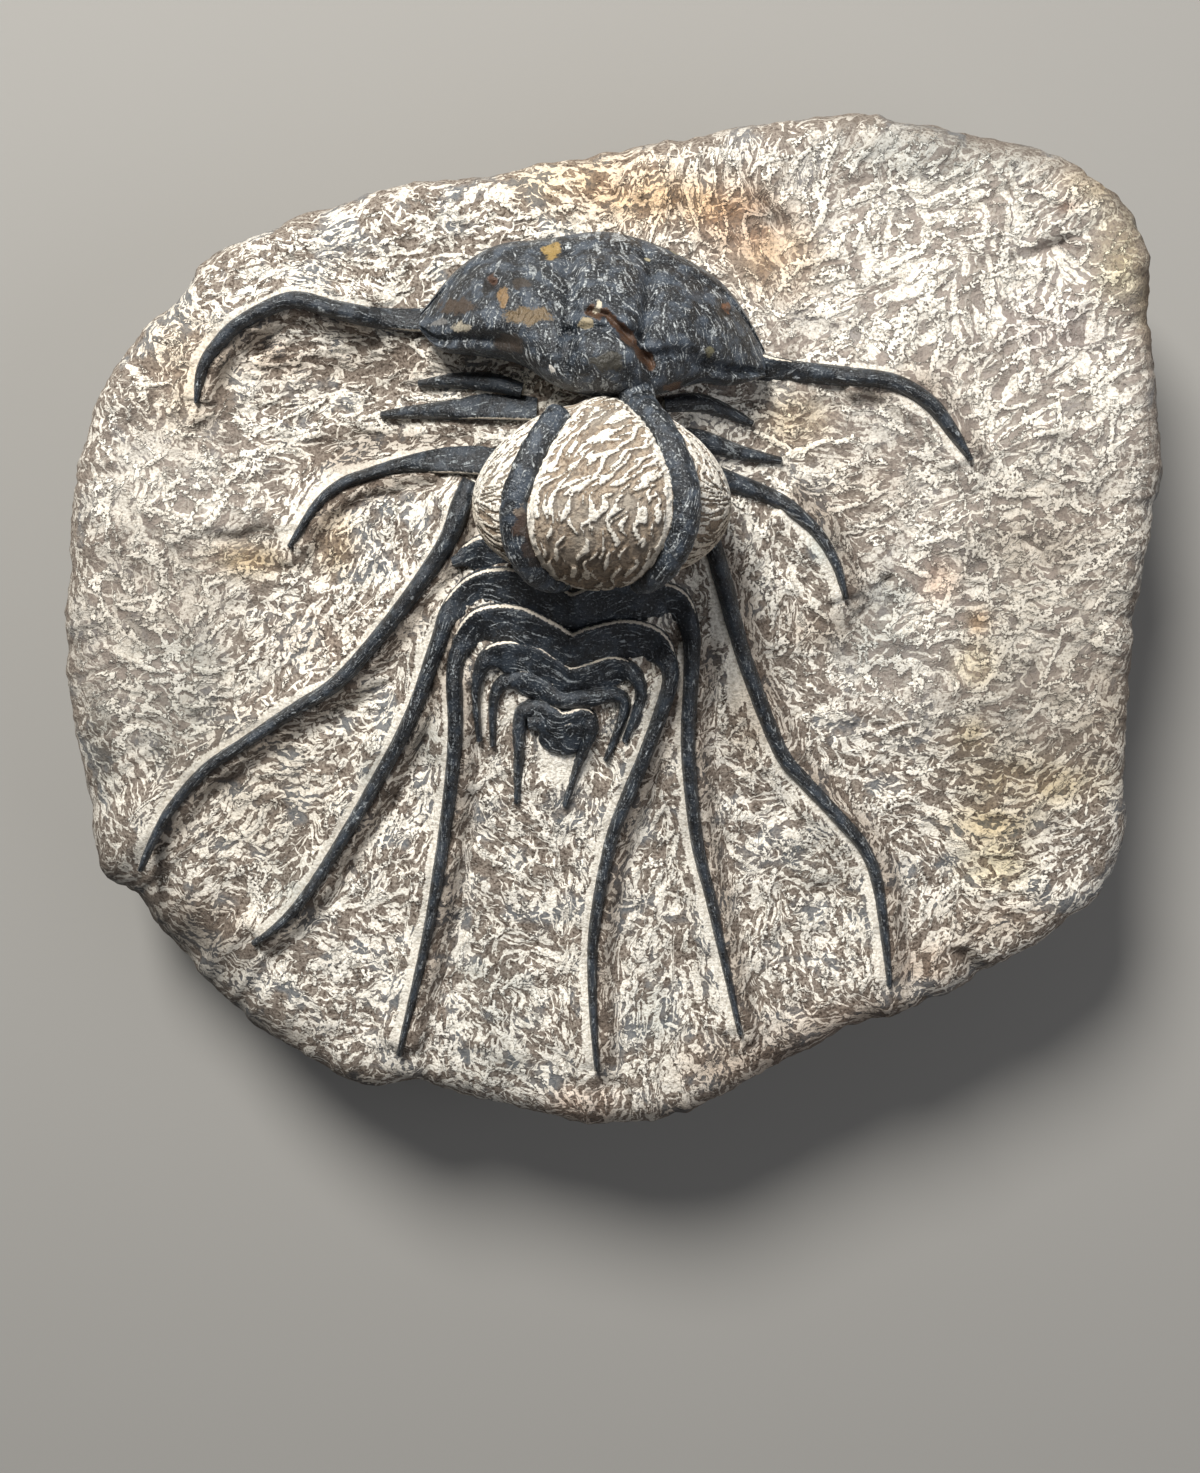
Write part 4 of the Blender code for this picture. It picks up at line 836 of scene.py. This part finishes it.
# Clean shell: dark, with a satin gloss broken by fine scratches
calcite = shell("scribed_calcite_shell", "#0b0d10", "#1d2126", "#333b44", "#a3a9ac", 0.6, 0.45)
SEGMENT_5_FRONT = [
    (-20.6, 12.9, 1.6, 1.3), (-16.5, 14.4, 4.6, 1.7), (-12.5, 14.3, 5.2, 1.7), (-8, 13.2, 5.2, 1.7),
]
SEGMENT_7 = [
    (-17.5, -12.3, 0.9, 1.0), (-17.8, -5, 1.4, 1.3), (-16.5, -1, 2.6, 1.8), (-14.1, 0.5, 3.6, 2.0),
    (-10.2, 0.2, 3.8, 2.1), (-7.3, -1.4, 3.6, 2.2), (-4.8, -2.7, 3.2, 2.3), (-2, -2.1, 3.2, 2.2),
    (1.2, -1.3, 3.4, 2.0), (4.1, -2.4, 2.6, 1.8), (5, -5.6, 1.7, 1.5), (2.8, -12, 0.9, 1.0),
]
SEGMENT_8 = [
    (-15.6, -13, 0.9, 1.0), (-15.4, -6.6, 1.4, 1.3), (-14.2, -4.1, 2.2, 1.7), (-11.7, -3.3, 3.0, 1.9),
    (-8.9, -4.1, 3.1, 2.0), (-5.9, -6, 2.8, 2.1), (-2.3, -5.6, 2.8, 2.0), (1.2, -5.2, 2.5, 1.8),
    (2.8, -7.2, 1.6, 1.5), (0.2, -15, 0.9, 1.0),
]


def skin_tree():
    """Geometry nodes that skin a path, from each point's reach aside, its rise and the band's flatness."""
    tree = bpy.data.node_groups.new("skin_along_path", "GeometryNodeTree")
    for name, kind, value in (
        ("Path", "Geometry", None), ("Sides", "Int", 22), ("Rear Reach", "Float", 0.0),
        ("Tread Tilt", "Float", 0.4), ("Underside", "Float", 0.6), ("Grain Height", "Float", 0.0001),
        ("Grain Size", "Float", 0.001), ("Grain Seed", "Float", 3.0), ("Edge Place", "Float", 0.82),
        ("Shell", "Material", None),
    ):
        socket = tree.interface.new_socket(name, in_out="INPUT", socket_type="NodeSocket" + kind)
        if value is not None:
            socket.default_value = value
    tree.interface.new_socket("Skin", in_out="OUTPUT", socket_type="NodeSocketGeometry")
    given = node(tree, "NodeGroupInput").outputs
    ring = node(tree, "GeometryNodeCurvePrimitiveCircle", {"Resolution": given["Sides"], "Radius": 1.0})
    spoke = node(tree, "SeparateXYZ", {0: node(tree, "GeometryNodeInputPosition")})
    for name in ("X", "Y"):
        ring = node(tree, "GeometryNodeStoreNamedAttribute", {
            "Geometry": ring, "Name": "ring_" + name, "Value": spoke.outputs[name]}, data_type="FLOAT")
    path = node(tree, "GeometryNodeMeshToCurve", {"Mesh": given["Path"]})
    skin = node(tree, "GeometryNodeCurveToMesh", {"Curve": path, "Profile Curve": ring, "Fill Caps": True})
    term = {
        name: node(tree, "GeometryNodeInputNamedAttribute", {"Name": key}, data_type="FLOAT")
        for name, key in (("across", "ring_X"), ("up", "ring_Y"), ("flat", "flat"))}
    centre, aside, lift = (
        node(tree, "GeometryNodeInputNamedAttribute", {"Name": name}, data_type="FLOAT_VECTOR")
        for name in ("centre", "aside", "lift"))
    # A flat band is highest near its front edge, falls to the rear and reaches under the next one
    rear, tilt, under, lip = (given[name] for name in ("Rear Reach", "Tread Tilt", "Underside", "Edge Place"))
    for name, operation, *terms in (
        ("top", "GREATER_THAN", "up", 0.0001),
        ("rear", "LESS_THAN", "across", 0.0), ("rear", "MULTIPLY", "rear", "flat"),
        ("rear", "MULTIPLY_ADD", "rear", rear, 1.0), ("wide", "MULTIPLY", "across", "rear"),
        ("brow", "ABSOLUTE", "across"), ("brow", "POWER", "brow", 6.0), ("brow", "SUBTRACT", 1.0, "brow"),
        ("brow", "MAXIMUM", "brow", 0.0), ("brow", "POWER", "brow", 0.5),
        ("fall", "SUBTRACT", "across", 1.0), ("fall", "MULTIPLY_ADD", "fall", tilt, 1.0),
        ("tread", "MULTIPLY", "brow", "fall"),
        ("below", "MULTIPLY", under, -1.0), ("below", "MAXIMUM", "up", "below"),
        # The front edge, where rock was left, is a line across the top of a flat band
        ("lip", "SUBTRACT", "across", lip), ("lip", "DIVIDE", "lip", 0.13), ("lip", "MULTIPLY", "lip", "lip"),
        ("lip", "MULTIPLY", "lip", -1.0), ("lip", "EXPONENT", "lip"), ("lip", "MULTIPLY", "lip", "flat"),
        ("lip", "MULTIPLY", "lip", "top"),
    ):
        terms = {k: term[value] if isinstance(value, str) else value for k, value in enumerate(terms)}
        term[name] = node(tree, "Math", terms, operation=operation)
    tread = node(tree, "Mix", {"Factor": term["flat"], 2: term["up"], 3: term["tread"]}, data_type="FLOAT")
    tall = node(tree, "Mix", {"Factor": term["top"], 2: term["below"], 3: tread}, data_type="FLOAT")
    place = centre
    for way, share in ((aside, term["wide"]), (lift, tall)):
        way = node(tree, "VectorMath", {0: way, "Scale": share}, operation="SCALE")
        place = node(tree, "VectorMath", {0: place, 1: way})
    # Grain stands out along the ring's own spokes
    finer = node(tree, "Math", {0: 1.0, 1: given["Grain Size"]}, operation="DIVIDE")
    scaled = node(tree, "VectorMath", {0: place, "Scale": finer}, operation="SCALE")
    grain = node(tree, "TexNoise", {
        "Vector": scaled, "W": given["Grain Seed"], "Scale": 1.0, "Detail": 2.0}, noise_dimensions="4D")
    grain = node(tree, "Math", {0: grain, 1: 2.0, 2: -1.0}, operation="MULTIPLY_ADD")
    grain = node(tree, "Math", {0: grain, 1: given["Grain Height"]}, operation="MULTIPLY")
    for way, share in ((aside, term["across"]), (lift, term["up"])):
        way = node(tree, "VectorMath", {0: way}, operation="NORMALIZE")
        share = node(tree, "Math", {0: share, 1: grain}, operation="MULTIPLY")
        way = node(tree, "VectorMath", {0: way, "Scale": share}, operation="SCALE")
        place = node(tree, "VectorMath", {0: place, 1: way})
    skin = node(tree, "GeometryNodeSetPosition", {"Geometry": skin, "Position": place})
    skin = node(tree, "GeometryNodeStoreNamedAttribute", {
        "Geometry": skin, "Name": "edge", "Value": term["lip"]}, data_type="FLOAT")
    skin = node(tree, "GeometryNodeRealizeInstances", {"Geometry": skin})
    skin = node(tree, "GeometryNodeSetMaterial", {"Geometry": skin, "Material": given["Shell"]})
    node(tree, "NodeGroupOutput", {0: skin})
    return tree


skin_nodes = skin_tree()


def lie_on_face(rows, spacing=0.35):
    """Path of a band or spine that lies on the rock: places, reach aside, rise, flatness and direction."""
    path = curve_through(rows, spacing)
    ahead = np.gradient(path[:, :2], axis=0)
    ahead /= np.linalg.norm(ahead, axis=1)[:, None]
    nothing = np.zeros(len(path))
    # The band rides over the hollows that are shorter than it bends
    level = np.pad(sample(face, path[:, 0], path[:, 1]), 4, mode="edge")
    level = np.convolve(level, np.ones(9) / 9, mode="valid")
    flat = smooth(2.6, 3.4, path[:, 2])
    knuckle = KNUCKLE_HEIGHT * flat * np.exp(-((path[:, 0] - KNUCKLE_LINE) / KNUCKLE_REACH) ** 2)
    centre = np.stack([path[:, 0], path[:, 1], THICKNESS + level - SPINE_SINK], 1)
    aside = np.stack([-ahead[:, 1], ahead[:, 0], nothing], 1) * path[:, 2:3] / 2
    lift = np.stack([nothing, nothing, path[:, 3] + SPINE_SINK + knuckle], 1)
    return centre, aside, lift, flat, np.stack([ahead[:, 0], ahead[:, 1], nothing], 1)


def add_skin(name, paths, nodes, material, **sizes):
    """A piece of one or more skinned paths, which stands for these nodes of the model."""
    centre, aside, lift, flat, run_here = (np.concatenate(rows) for rows in zip(*paths))
    ends = np.cumsum([len(path[0]) for path in paths])
    edges = [(k, k + 1) for k in range(len(centre) - 1) if k + 1 not in ends]
    mesh = bpy.data.meshes.new(name)
    mesh.from_pydata((centre * MM).tolist(), edges, [])
    made = add_to_scene(name, mesh)
    for key, values in (("centre", centre * MM), ("aside", aside * MM), ("lift", lift * MM), ("flat", flat),
                        ("run", run_here)):
        add_attribute(made, key, values)
    modifier = made.modifiers.new("skin", "NODES")
    modifier.node_group = skin_nodes
    sizes["Shell"] = material
    for item in skin_nodes.interface.items_tree:
        if item.in_out == "INPUT" and item.name in sizes:
            modifier[item.identifier] = sizes[item.name]
    state = bpy.context.evaluated_depsgraph_get()
    skinned = bpy.data.meshes.new_from_object(made.evaluated_get(state), depsgraph=state)
    made.modifiers.remove(modifier)
    made.data = skinned
    bpy.data.meshes.remove(mesh)
    skinned.name = name
    skinned.shade_smooth()
    outward(made)
    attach(made, "root")
    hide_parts(*nodes)
    return made


BAND = {"Rear Reach": 0.75, "Grain Height": 0.1 * MM, "Grain Size": 0.9 * MM}
for name, paths in {
    "thorax_segment_1_left_end": [SEGMENT_1_LEFT], "thorax_segment_1_right_end": [SEGMENT_1_RIGHT],
    "thorax_segment_2_left_end": [SEGMENT_2_LEFT], "thorax_segment_2_right_end": [SEGMENT_2_RIGHT],
    "thorax_segment_3_left_end": [SEGMENT_3_LEFT], "thorax_segment_3_right_end": [SEGMENT_3_RIGHT],
    "thorax_segment_4_left_end": [SEGMENT_4_LEFT], "thorax_segment_4_right_end": [SEGMENT_4_RIGHT],
    "thorax_segment_5": [SEGMENT_5, SEGMENT_5_FRONT], "thorax_segment_6": [SEGMENT_6],
    "thorax_segment_7": [SEGMENT_7], "thorax_segment_8": [SEGMENT_8],
}.items():
    sizes = BAND if name[15] in "5678" else {**BAND, "Rear Reach": 0.0}
    paths = [lie_on_face(rows) for rows in paths]
    add_skin(name.replace("thorax_", "shell_"), paths, [name], calcite, **sizes)

# The tail shield.
# One small knobbly plate of the same shell, which closes the body behind the last thorax plate, with a pair
# of short spines that run down over the pale rock.
PYGIDIUM = [
    (-12.4, -21.5, 0.9, 1.0), (-12, -15, 1.5, 1.3), (-11.8, -10.2, 2.0, 1.6), (-11, -7.9, 2.7, 1.8),
    (-8.7, -7.6, 3.0, 1.9), (-5.8, -9.2, 3.2, 2.1), (-2.8, -8.5, 3.2, 1.9), (-2.1, -10.6, 2.4, 1.7),
    (-3.6, -15.3, 1.4, 1.3), (-5.6, -21.6, 0.9, 1.0),
]
TAIL_PLATE = [(-10.6, -9.4, 2.6, 1.7), (-8.4, -9.4, 3.0, 1.8), (-5.7, -10.9, 3.8, 1.9), (-3, -9.8, 2.8, 1.7)]
add_skin("tail_shield", [lie_on_face(rows) for rows in (PYGIDIUM, TAIL_PLATE)], ["pygidium"], calcite,
         **{**BAND, "Grain Height": 0.35 * MM})

# The head shield.
# A domed plate of the same shell, with a raised middle lobe between two furrows, a small eye on each cheek
# and its rear corners drawn out into the two cheek spines. The right horn grows from its rear edge.
HEAD_FRONT = [
    (-24.8, 45.9), (-20, 51.5), (-14.6, 54.8), (-8.3, 55.6), (-0.1, 56.6), (6.9, 54.9), (12, 52.4),
    (15.6, 50), (18.7, 46.3), (21.5, 41.2),
]
HEAD_REAR = [
    (-24.8, 43.9), (-21.8, 41), (-17, 40.3), (-11.3, 39.2), (-5.9, 36.3), (0, 35.1), (7, 35.4),
    (12.5, 36.7), (16.5, 36.4), (21.5, 37.6),
]
HEAD_LEFT, HEAD_RIGHT = HEAD_FRONT[0][0], HEAD_FRONT[-1][0]
HEAD_CREST, HEAD_TIP, HEAD_FRONT_EDGE, HEAD_REAR_EDGE, CHEEK_REAR_EDGE = 20.5, 6.5, 4.0, 17.0, 8.0
HEAD_COLUMNS, HEAD_ROWS, HEAD_ROOT = 200, 120, 4.0
MIDDLE_LOBE_RISE, MIDDLE_LOBE_REACH, FURROW_DEPTH = 1.9, 4.6, 1.5
# The rolled edges, each as waves across the shield: rise, place and width as shares of the way to the front
REAR_ROLL = ((0.8, 0.05, 0.05), (-1.1, 0.17, 0.045))
FRONT_ROLL = ((0.35, 0.95, 0.03), (-0.5, 0.88, 0.03))

# Lobes and pits of the shield: x, y, reach along x, reach along y, rise
HEAD_LOBES = [
    (-9.3, 47.5, 3.6, 4.5, 0.7), (9.8, 46.5, 3.6, 4.5, 0.8), (0.4, 39.2, 4.6, 2.6, 0.8),
    (1.0, 53.4, 2.6, 1.6, 0.5), (-14.5, 49.9, 2.4, 2.4, 0.8), (-14.5, 49.9, 1.1, 1.5, -2.0),
    (-14.4, 50.2, 0.55, 0.6, 1.5), (16.1, 46.5, 2.2, 2.2, 0.7), (16.1, 46.5, 0.9, 1.0, -1.7),
    (16.1, 46.6, 0.5, 0.5, 1.5), (-16, 44.5, 3.4, 1.8, 0.6), (13.5, 41.5, 3.0, 1.6, 0.5),
    (-9.7, 45.2, 2.2, 0.8, -0.4),
]
# Furrows and the crack: points, width, depth
HEAD_CRACK = [(-1.8, 45.9), (0.4, 45.3), (2.0, 43.9), (3.3, 42.3), (4.8, 40.6), (6.1, 39.2)]
HEAD_FURROWS = [
    ([(4.9, 55.5), (6.0, 51), (5.6, 47.4), (5.2, 44), (4.8, 41.6), (6.2, 37.5)], 0.9, 1.2),
    ([(-4.6, 55), (-4.4, 50), (-4.2, 46), (-4.6, 41), (-5.4, 37)], 1.1, 0.9),
    ([(-4.4, 43.2), (-2, 43.6), (1, 43.6), (4.6, 42.6)], 0.7, 0.8),
    (HEAD_CRACK, 0.45, 1.0),
    ([(-11.5, 52.5), (-10.2, 48.5), (-9.8, 46.5)], 0.8, 0.5), ([(8.2, 49.5), (12.5, 50.2)], 0.6, 0.4),
    ([(6.2, 40.2), (9.5, 40.8), (12.5, 39.6)], 0.8, 0.7), ([(13, 49), (12.2, 45), (13.4, 42.4)], 0.9, 0.5),
]

# Stains of iron and bits of rock left on the shield: x, y, half width, half height, colour. The two
# near-black spots in the eye pits are painted shade
HEAD_SPOTS = [
    (-9.7, 45.4, 3.2, 1.3, "#65543a"), (-13, 47.4, 0.6, 1.5, "#7a6140"), (-19.2, 46.6, 3.0, 1.1, "#40342a"),
    (-18.5, 44, 1.4, 0.9, "#a39b8a"), (-7.1, 53.8, 1.3, 1.3, "#937a47"), (-0.8, 46.4, 0.45, 0.9, "#c0b7a2"),
    (-2.2, 44.3, 1.2, 0.8, "#96896e"), (-6.7, 38.9, 0.4, 0.4, "#d8d4cc"), (13.4, 40.8, 0.9, 0.6, "#605c46"),
    (8.8, 36.4, 1.5, 0.7, "#5a4230"), (-14.4, 50.1, 0.8, 0.9, "#4f382b"), (16.1, 46.6, 0.7, 0.7, "#6b4c38"),
    (-12.2, 41.8, 2.2, 1.2, "#3f362f"), (0.4, 39.6, 2.4, 1.3, "#37342c"), (-10.5, 49.5, 1.2, 1.0, "#38312b"),
    (-22, 44.5, 1.2, 0.5, "#6f6e6c"), (-15.2, 49.1, 1.0, 1.2, "#120e0b"), (15.4, 45.9, 0.8, 0.9, "#14100d"),
    (9.5, 54.2, 1.0, 0.5, "#8a8467"), (5.6, 52.9, 0.5, 0.4, "#a29a80"),
]
HEAD_CRACK_COLOUR = "#4a3322"


def path_distance(path, x, y):
    """Distance of places from a line of points."""
    best = np.full(np.shape(x), 99.0)
    for (ax, ay), (bx, by) in zip(path, path[1:]):
        dx, dy = bx - ax, by - ay
        share = np.clip(((x - ax) * dx + (y - ay) * dy) / (dx * dx + dy * dy), 0, 1)
        best = np.minimum(best, np.hypot(x - ax - share * dx, y - ay - share * dy))
    return best


# How far a stain's outline wanders, over what length it does, and the seed for it
SPOT_WANDER, SPOT_WAVE, SPOT_SEED = 0.7, 1.4, 3


def add_spots(obj, spots):
    """Keeps the colour and cover of stains, and of any painted shade among them, for each point of a piece.
    Their outlines wander a little.
    """
    co = np.array([vertex.co for vertex in obj.data.vertices]) / MM
    # Without a seed this noise starts from the clock
    noise.seed_set(SPOT_SEED)
    strayed = co + SPOT_WANDER * np.array([noise.noise_vector(Vector(p) / SPOT_WAVE) for p in co])
    spot, cover = np.zeros((len(co), 3)), np.zeros(len(co))
    for x, y, wide, high, code in spots:
        share = np.exp(-((strayed[:, 0] - x) / wide) ** 2 - ((strayed[:, 1] - y) / high) ** 2)
        spot = np.where((share > cover)[:, None], np.array(linear(code)[:3]), spot)
        cover = np.maximum(cover, share)
    add_attribute(obj, "spot", spot)
    add_attribute(obj, "spot_share", cover)


def head_height(x, y, share):
    """Height of the head shield above the rim. The share is 0 at its rear edge and 1 at its front edge."""
    aside = np.minimum(1, np.abs(x - (HEAD_LEFT + HEAD_RIGHT) / 2) / ((HEAD_RIGHT - HEAD_LEFT) / 2))
    crest = HEAD_CREST + (HEAD_TIP - HEAD_CREST) * aside ** 2.2
    behind = CHEEK_REAR_EDGE + (HEAD_REAR_EDGE - CHEEK_REAR_EDGE) * np.exp(-(x / 9.5) ** 4)
    behind = np.minimum(behind, crest - 0.5)
    rise = np.maximum(0, np.sin(math.pi * share ** 0.7)) ** 0.65
    base = behind + (HEAD_FRONT_EDGE - behind) * share
    height = base + (crest - (behind + (HEAD_FRONT_EDGE - behind) * 0.37)) * rise
    shown = np.minimum(1, 4 * share) * np.minimum(1, 5 * (1 - share))
    lobe = MIDDLE_LOBE_RISE * np.exp(-((x - 0.4) / MIDDLE_LOBE_REACH) ** 4) * np.minimum(1, 3 * (1 - share))
    for cx, cy, rx, ry, rise_here in HEAD_LOBES:
        lobe = lobe + rise_here * np.exp(-((x - cx) / rx) ** 2 - ((y - cy) / ry) ** 2)
    for path, wide, deep in HEAD_FURROWS:
        lobe = lobe - FURROW_DEPTH * deep * np.exp(-(path_distance(path, x, y) / wide) ** 2)
    rolled = np.clip(np.abs(x) / 8 - 0.9, 0, 1)
    rear_roll, front_roll = (
        sum(rise * np.exp(-((share - place) / width) ** 2) for rise, place, width in roll)
        for roll in (REAR_ROLL, FRONT_ROLL))
    return height + lobe * shown + rear_roll * rolled + front_roll


front = curve_through(HEAD_FRONT, 0.5)
rear = curve_through(HEAD_REAR, 0.5)
x = np.linspace(HEAD_LEFT, HEAD_RIGHT, HEAD_COLUMNS)[:, None]
front_y, rear_y = np.interp(x, front[:, 0], front[:, 1]), np.interp(x, rear[:, 0], rear[:, 1])
share = np.linspace(0, 1, HEAD_ROWS)[None]
y = rear_y + (front_y - rear_y) * share
x = x + 0 * y
z = THICKNESS + head_height(x, y, share)
# Fine pits and low bumps all over
z += np.array([
    0.16 * noise.noise(Vector(p) / 1.1) + 0.22 * noise.noise(Vector(p) / 3.1)
    for p in np.stack([x, y, z], -1).reshape(-1, 3)
]).reshape(x.shape)
foot = np.stack([x[:, :1], front_y, 0 * front_y + THICKNESS - HEAD_ROOT], -1)
heel = np.stack([x[:, :1], rear_y, 0 * rear_y + THICKNESS - HEAD_ROOT], -1)
rings = np.concatenate([np.stack([x, y, z], -1), foot, heel], 1)
columns, around = rings.shape[:2]
index = np.arange(columns * around).reshape(columns, around)
after = np.roll(index, -1, axis=1)
faces = np.stack([index[:-1], after[:-1], after[1:], index[1:]], -1).reshape(-1, 4).tolist()
faces += [index[0].tolist(), index[-1][::-1].tolist()]
co = rings.reshape(-1, 3)
head = add_mesh("head_shield", co, faces)
outward(head)
add_attribute(head, "run", np.tile((0.0, 1.0, 0.0), (len(co), 1)))
add_attribute(head, "edge", np.zeros(len(co)))
add_spots(head, HEAD_SPOTS + [(x, y, 0.7, 0.7, HEAD_CRACK_COLOUR) for x, y in curve_through(HEAD_CRACK, 0.5)])
# The head and the horns kept more of the scribe's grey dust, so they look duller and bluer. The paler bluish
# washes also stand in for gloss highlights, as painted sheen
dusted_sheen = shell("dusty_sheen_calcite_shell", "#090b0e", "#22272d", "#464f5a", "#c2c7c8", 0.59, 0.6)
head.data.materials.append(dusted_sheen)
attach(head, "root")
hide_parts("cephalon")
for name, rows in (("left_cheek_spine", LEFT_GENAL_SPINE), ("right_cheek_spine", RIGHT_GENAL_SPINE)):
    add_skin(name, [lie_on_face(rows)], ["cephalon"], calcite, **{**BAND, "Rear Reach": 0.0})

# The horns.
# Thick rods of shell that rise from the back of the head and coil over the ball and under it. The left one is
# broken across at its root, where a strip of rock shows in the break; the right one is whole.
HORN_WIDTH, HORN_TIP_SHARE, HORN_PROUD, HORN_STEPS = 3.7, 0.45, -0.35, 90
# Where the left horn is broken and browner: x, y, half width, half height, colour
HORN_SPOTS = [
    (-9.6, 19.6, 1.7, 2.0, "#4a3a31"), (-9.0, 17.0, 1.2, 1.8, "#3d322c"), (-10.5, 21.4, 0.9, 0.8, "#7c6f62"),
    (-8.4, 15.0, 1.0, 1.2, "#2e2824"), (-4.2, 35.2, 1.4, 0.7, "#b9a98f"),
]
HORN_TURNS = {"left": (-62.0, 112.0), "right": (-80.0, 112.0)}
RIGHT_HORN_ROOT = (2.6, 39.8, THICKNESS + 15.5)
ROOT_STEPS, ROOT_SPREAD = 8, 0.6


def horn_path(side):
    """Path of a horn on the ball: places, reach aside, rise, flatness and direction."""
    turn = np.radians(np.linspace(*HORN_TURNS[side], HORN_STEPS))
    sign = 1 if side == "right" else -1
    place, out = ball_place(sign * horn_spread(side, turn), turn)
    place = place + out * HORN_PROUD
    if side == "right":
        start = np.array(RIGHT_HORN_ROOT)
        lead = start + (place[0] - start) * np.linspace(0, 1, ROOT_STEPS, endpoint=False)[:, None]
        place = np.concatenate([lead, place])
        out = np.concatenate([np.tile(out[:1], (ROOT_STEPS, 1)), out])
    ahead = np.gradient(place, axis=0)
    ahead /= np.linalg.norm(ahead, axis=1)[:, None]
    across = np.cross(ahead, out)
    across /= np.linalg.norm(across, axis=1)[:, None]
    out = np.cross(across, ahead)
    left_over = np.linspace(1, 0, len(place))
    radius = (HORN_WIDTH / 2 * np.minimum(1, HORN_TIP_SHARE + 2 * left_over))[:, None]
    if side == "right":
        radius[:2 * ROOT_STEPS, 0] *= 1 + ROOT_SPREAD * np.linspace(1, 0, 2 * ROOT_STEPS) ** 1.5
    return place, across * radius, out * radius, 0 * left_over, ahead


for name, side, nodes in (("right_horn", "right", ["cephalon"]), ("broken_left_horn", "left", ["left_horn"])):
    horn = add_skin(name, [horn_path(side)], nodes, dusted_sheen,
                    **{"Underside": 1.0, "Sides": 26, "Grain Height": 0.35 * MM, "Grain Size": 1.3 * MM})
    if side == "left":
        add_spots(horn, HORN_SPOTS)
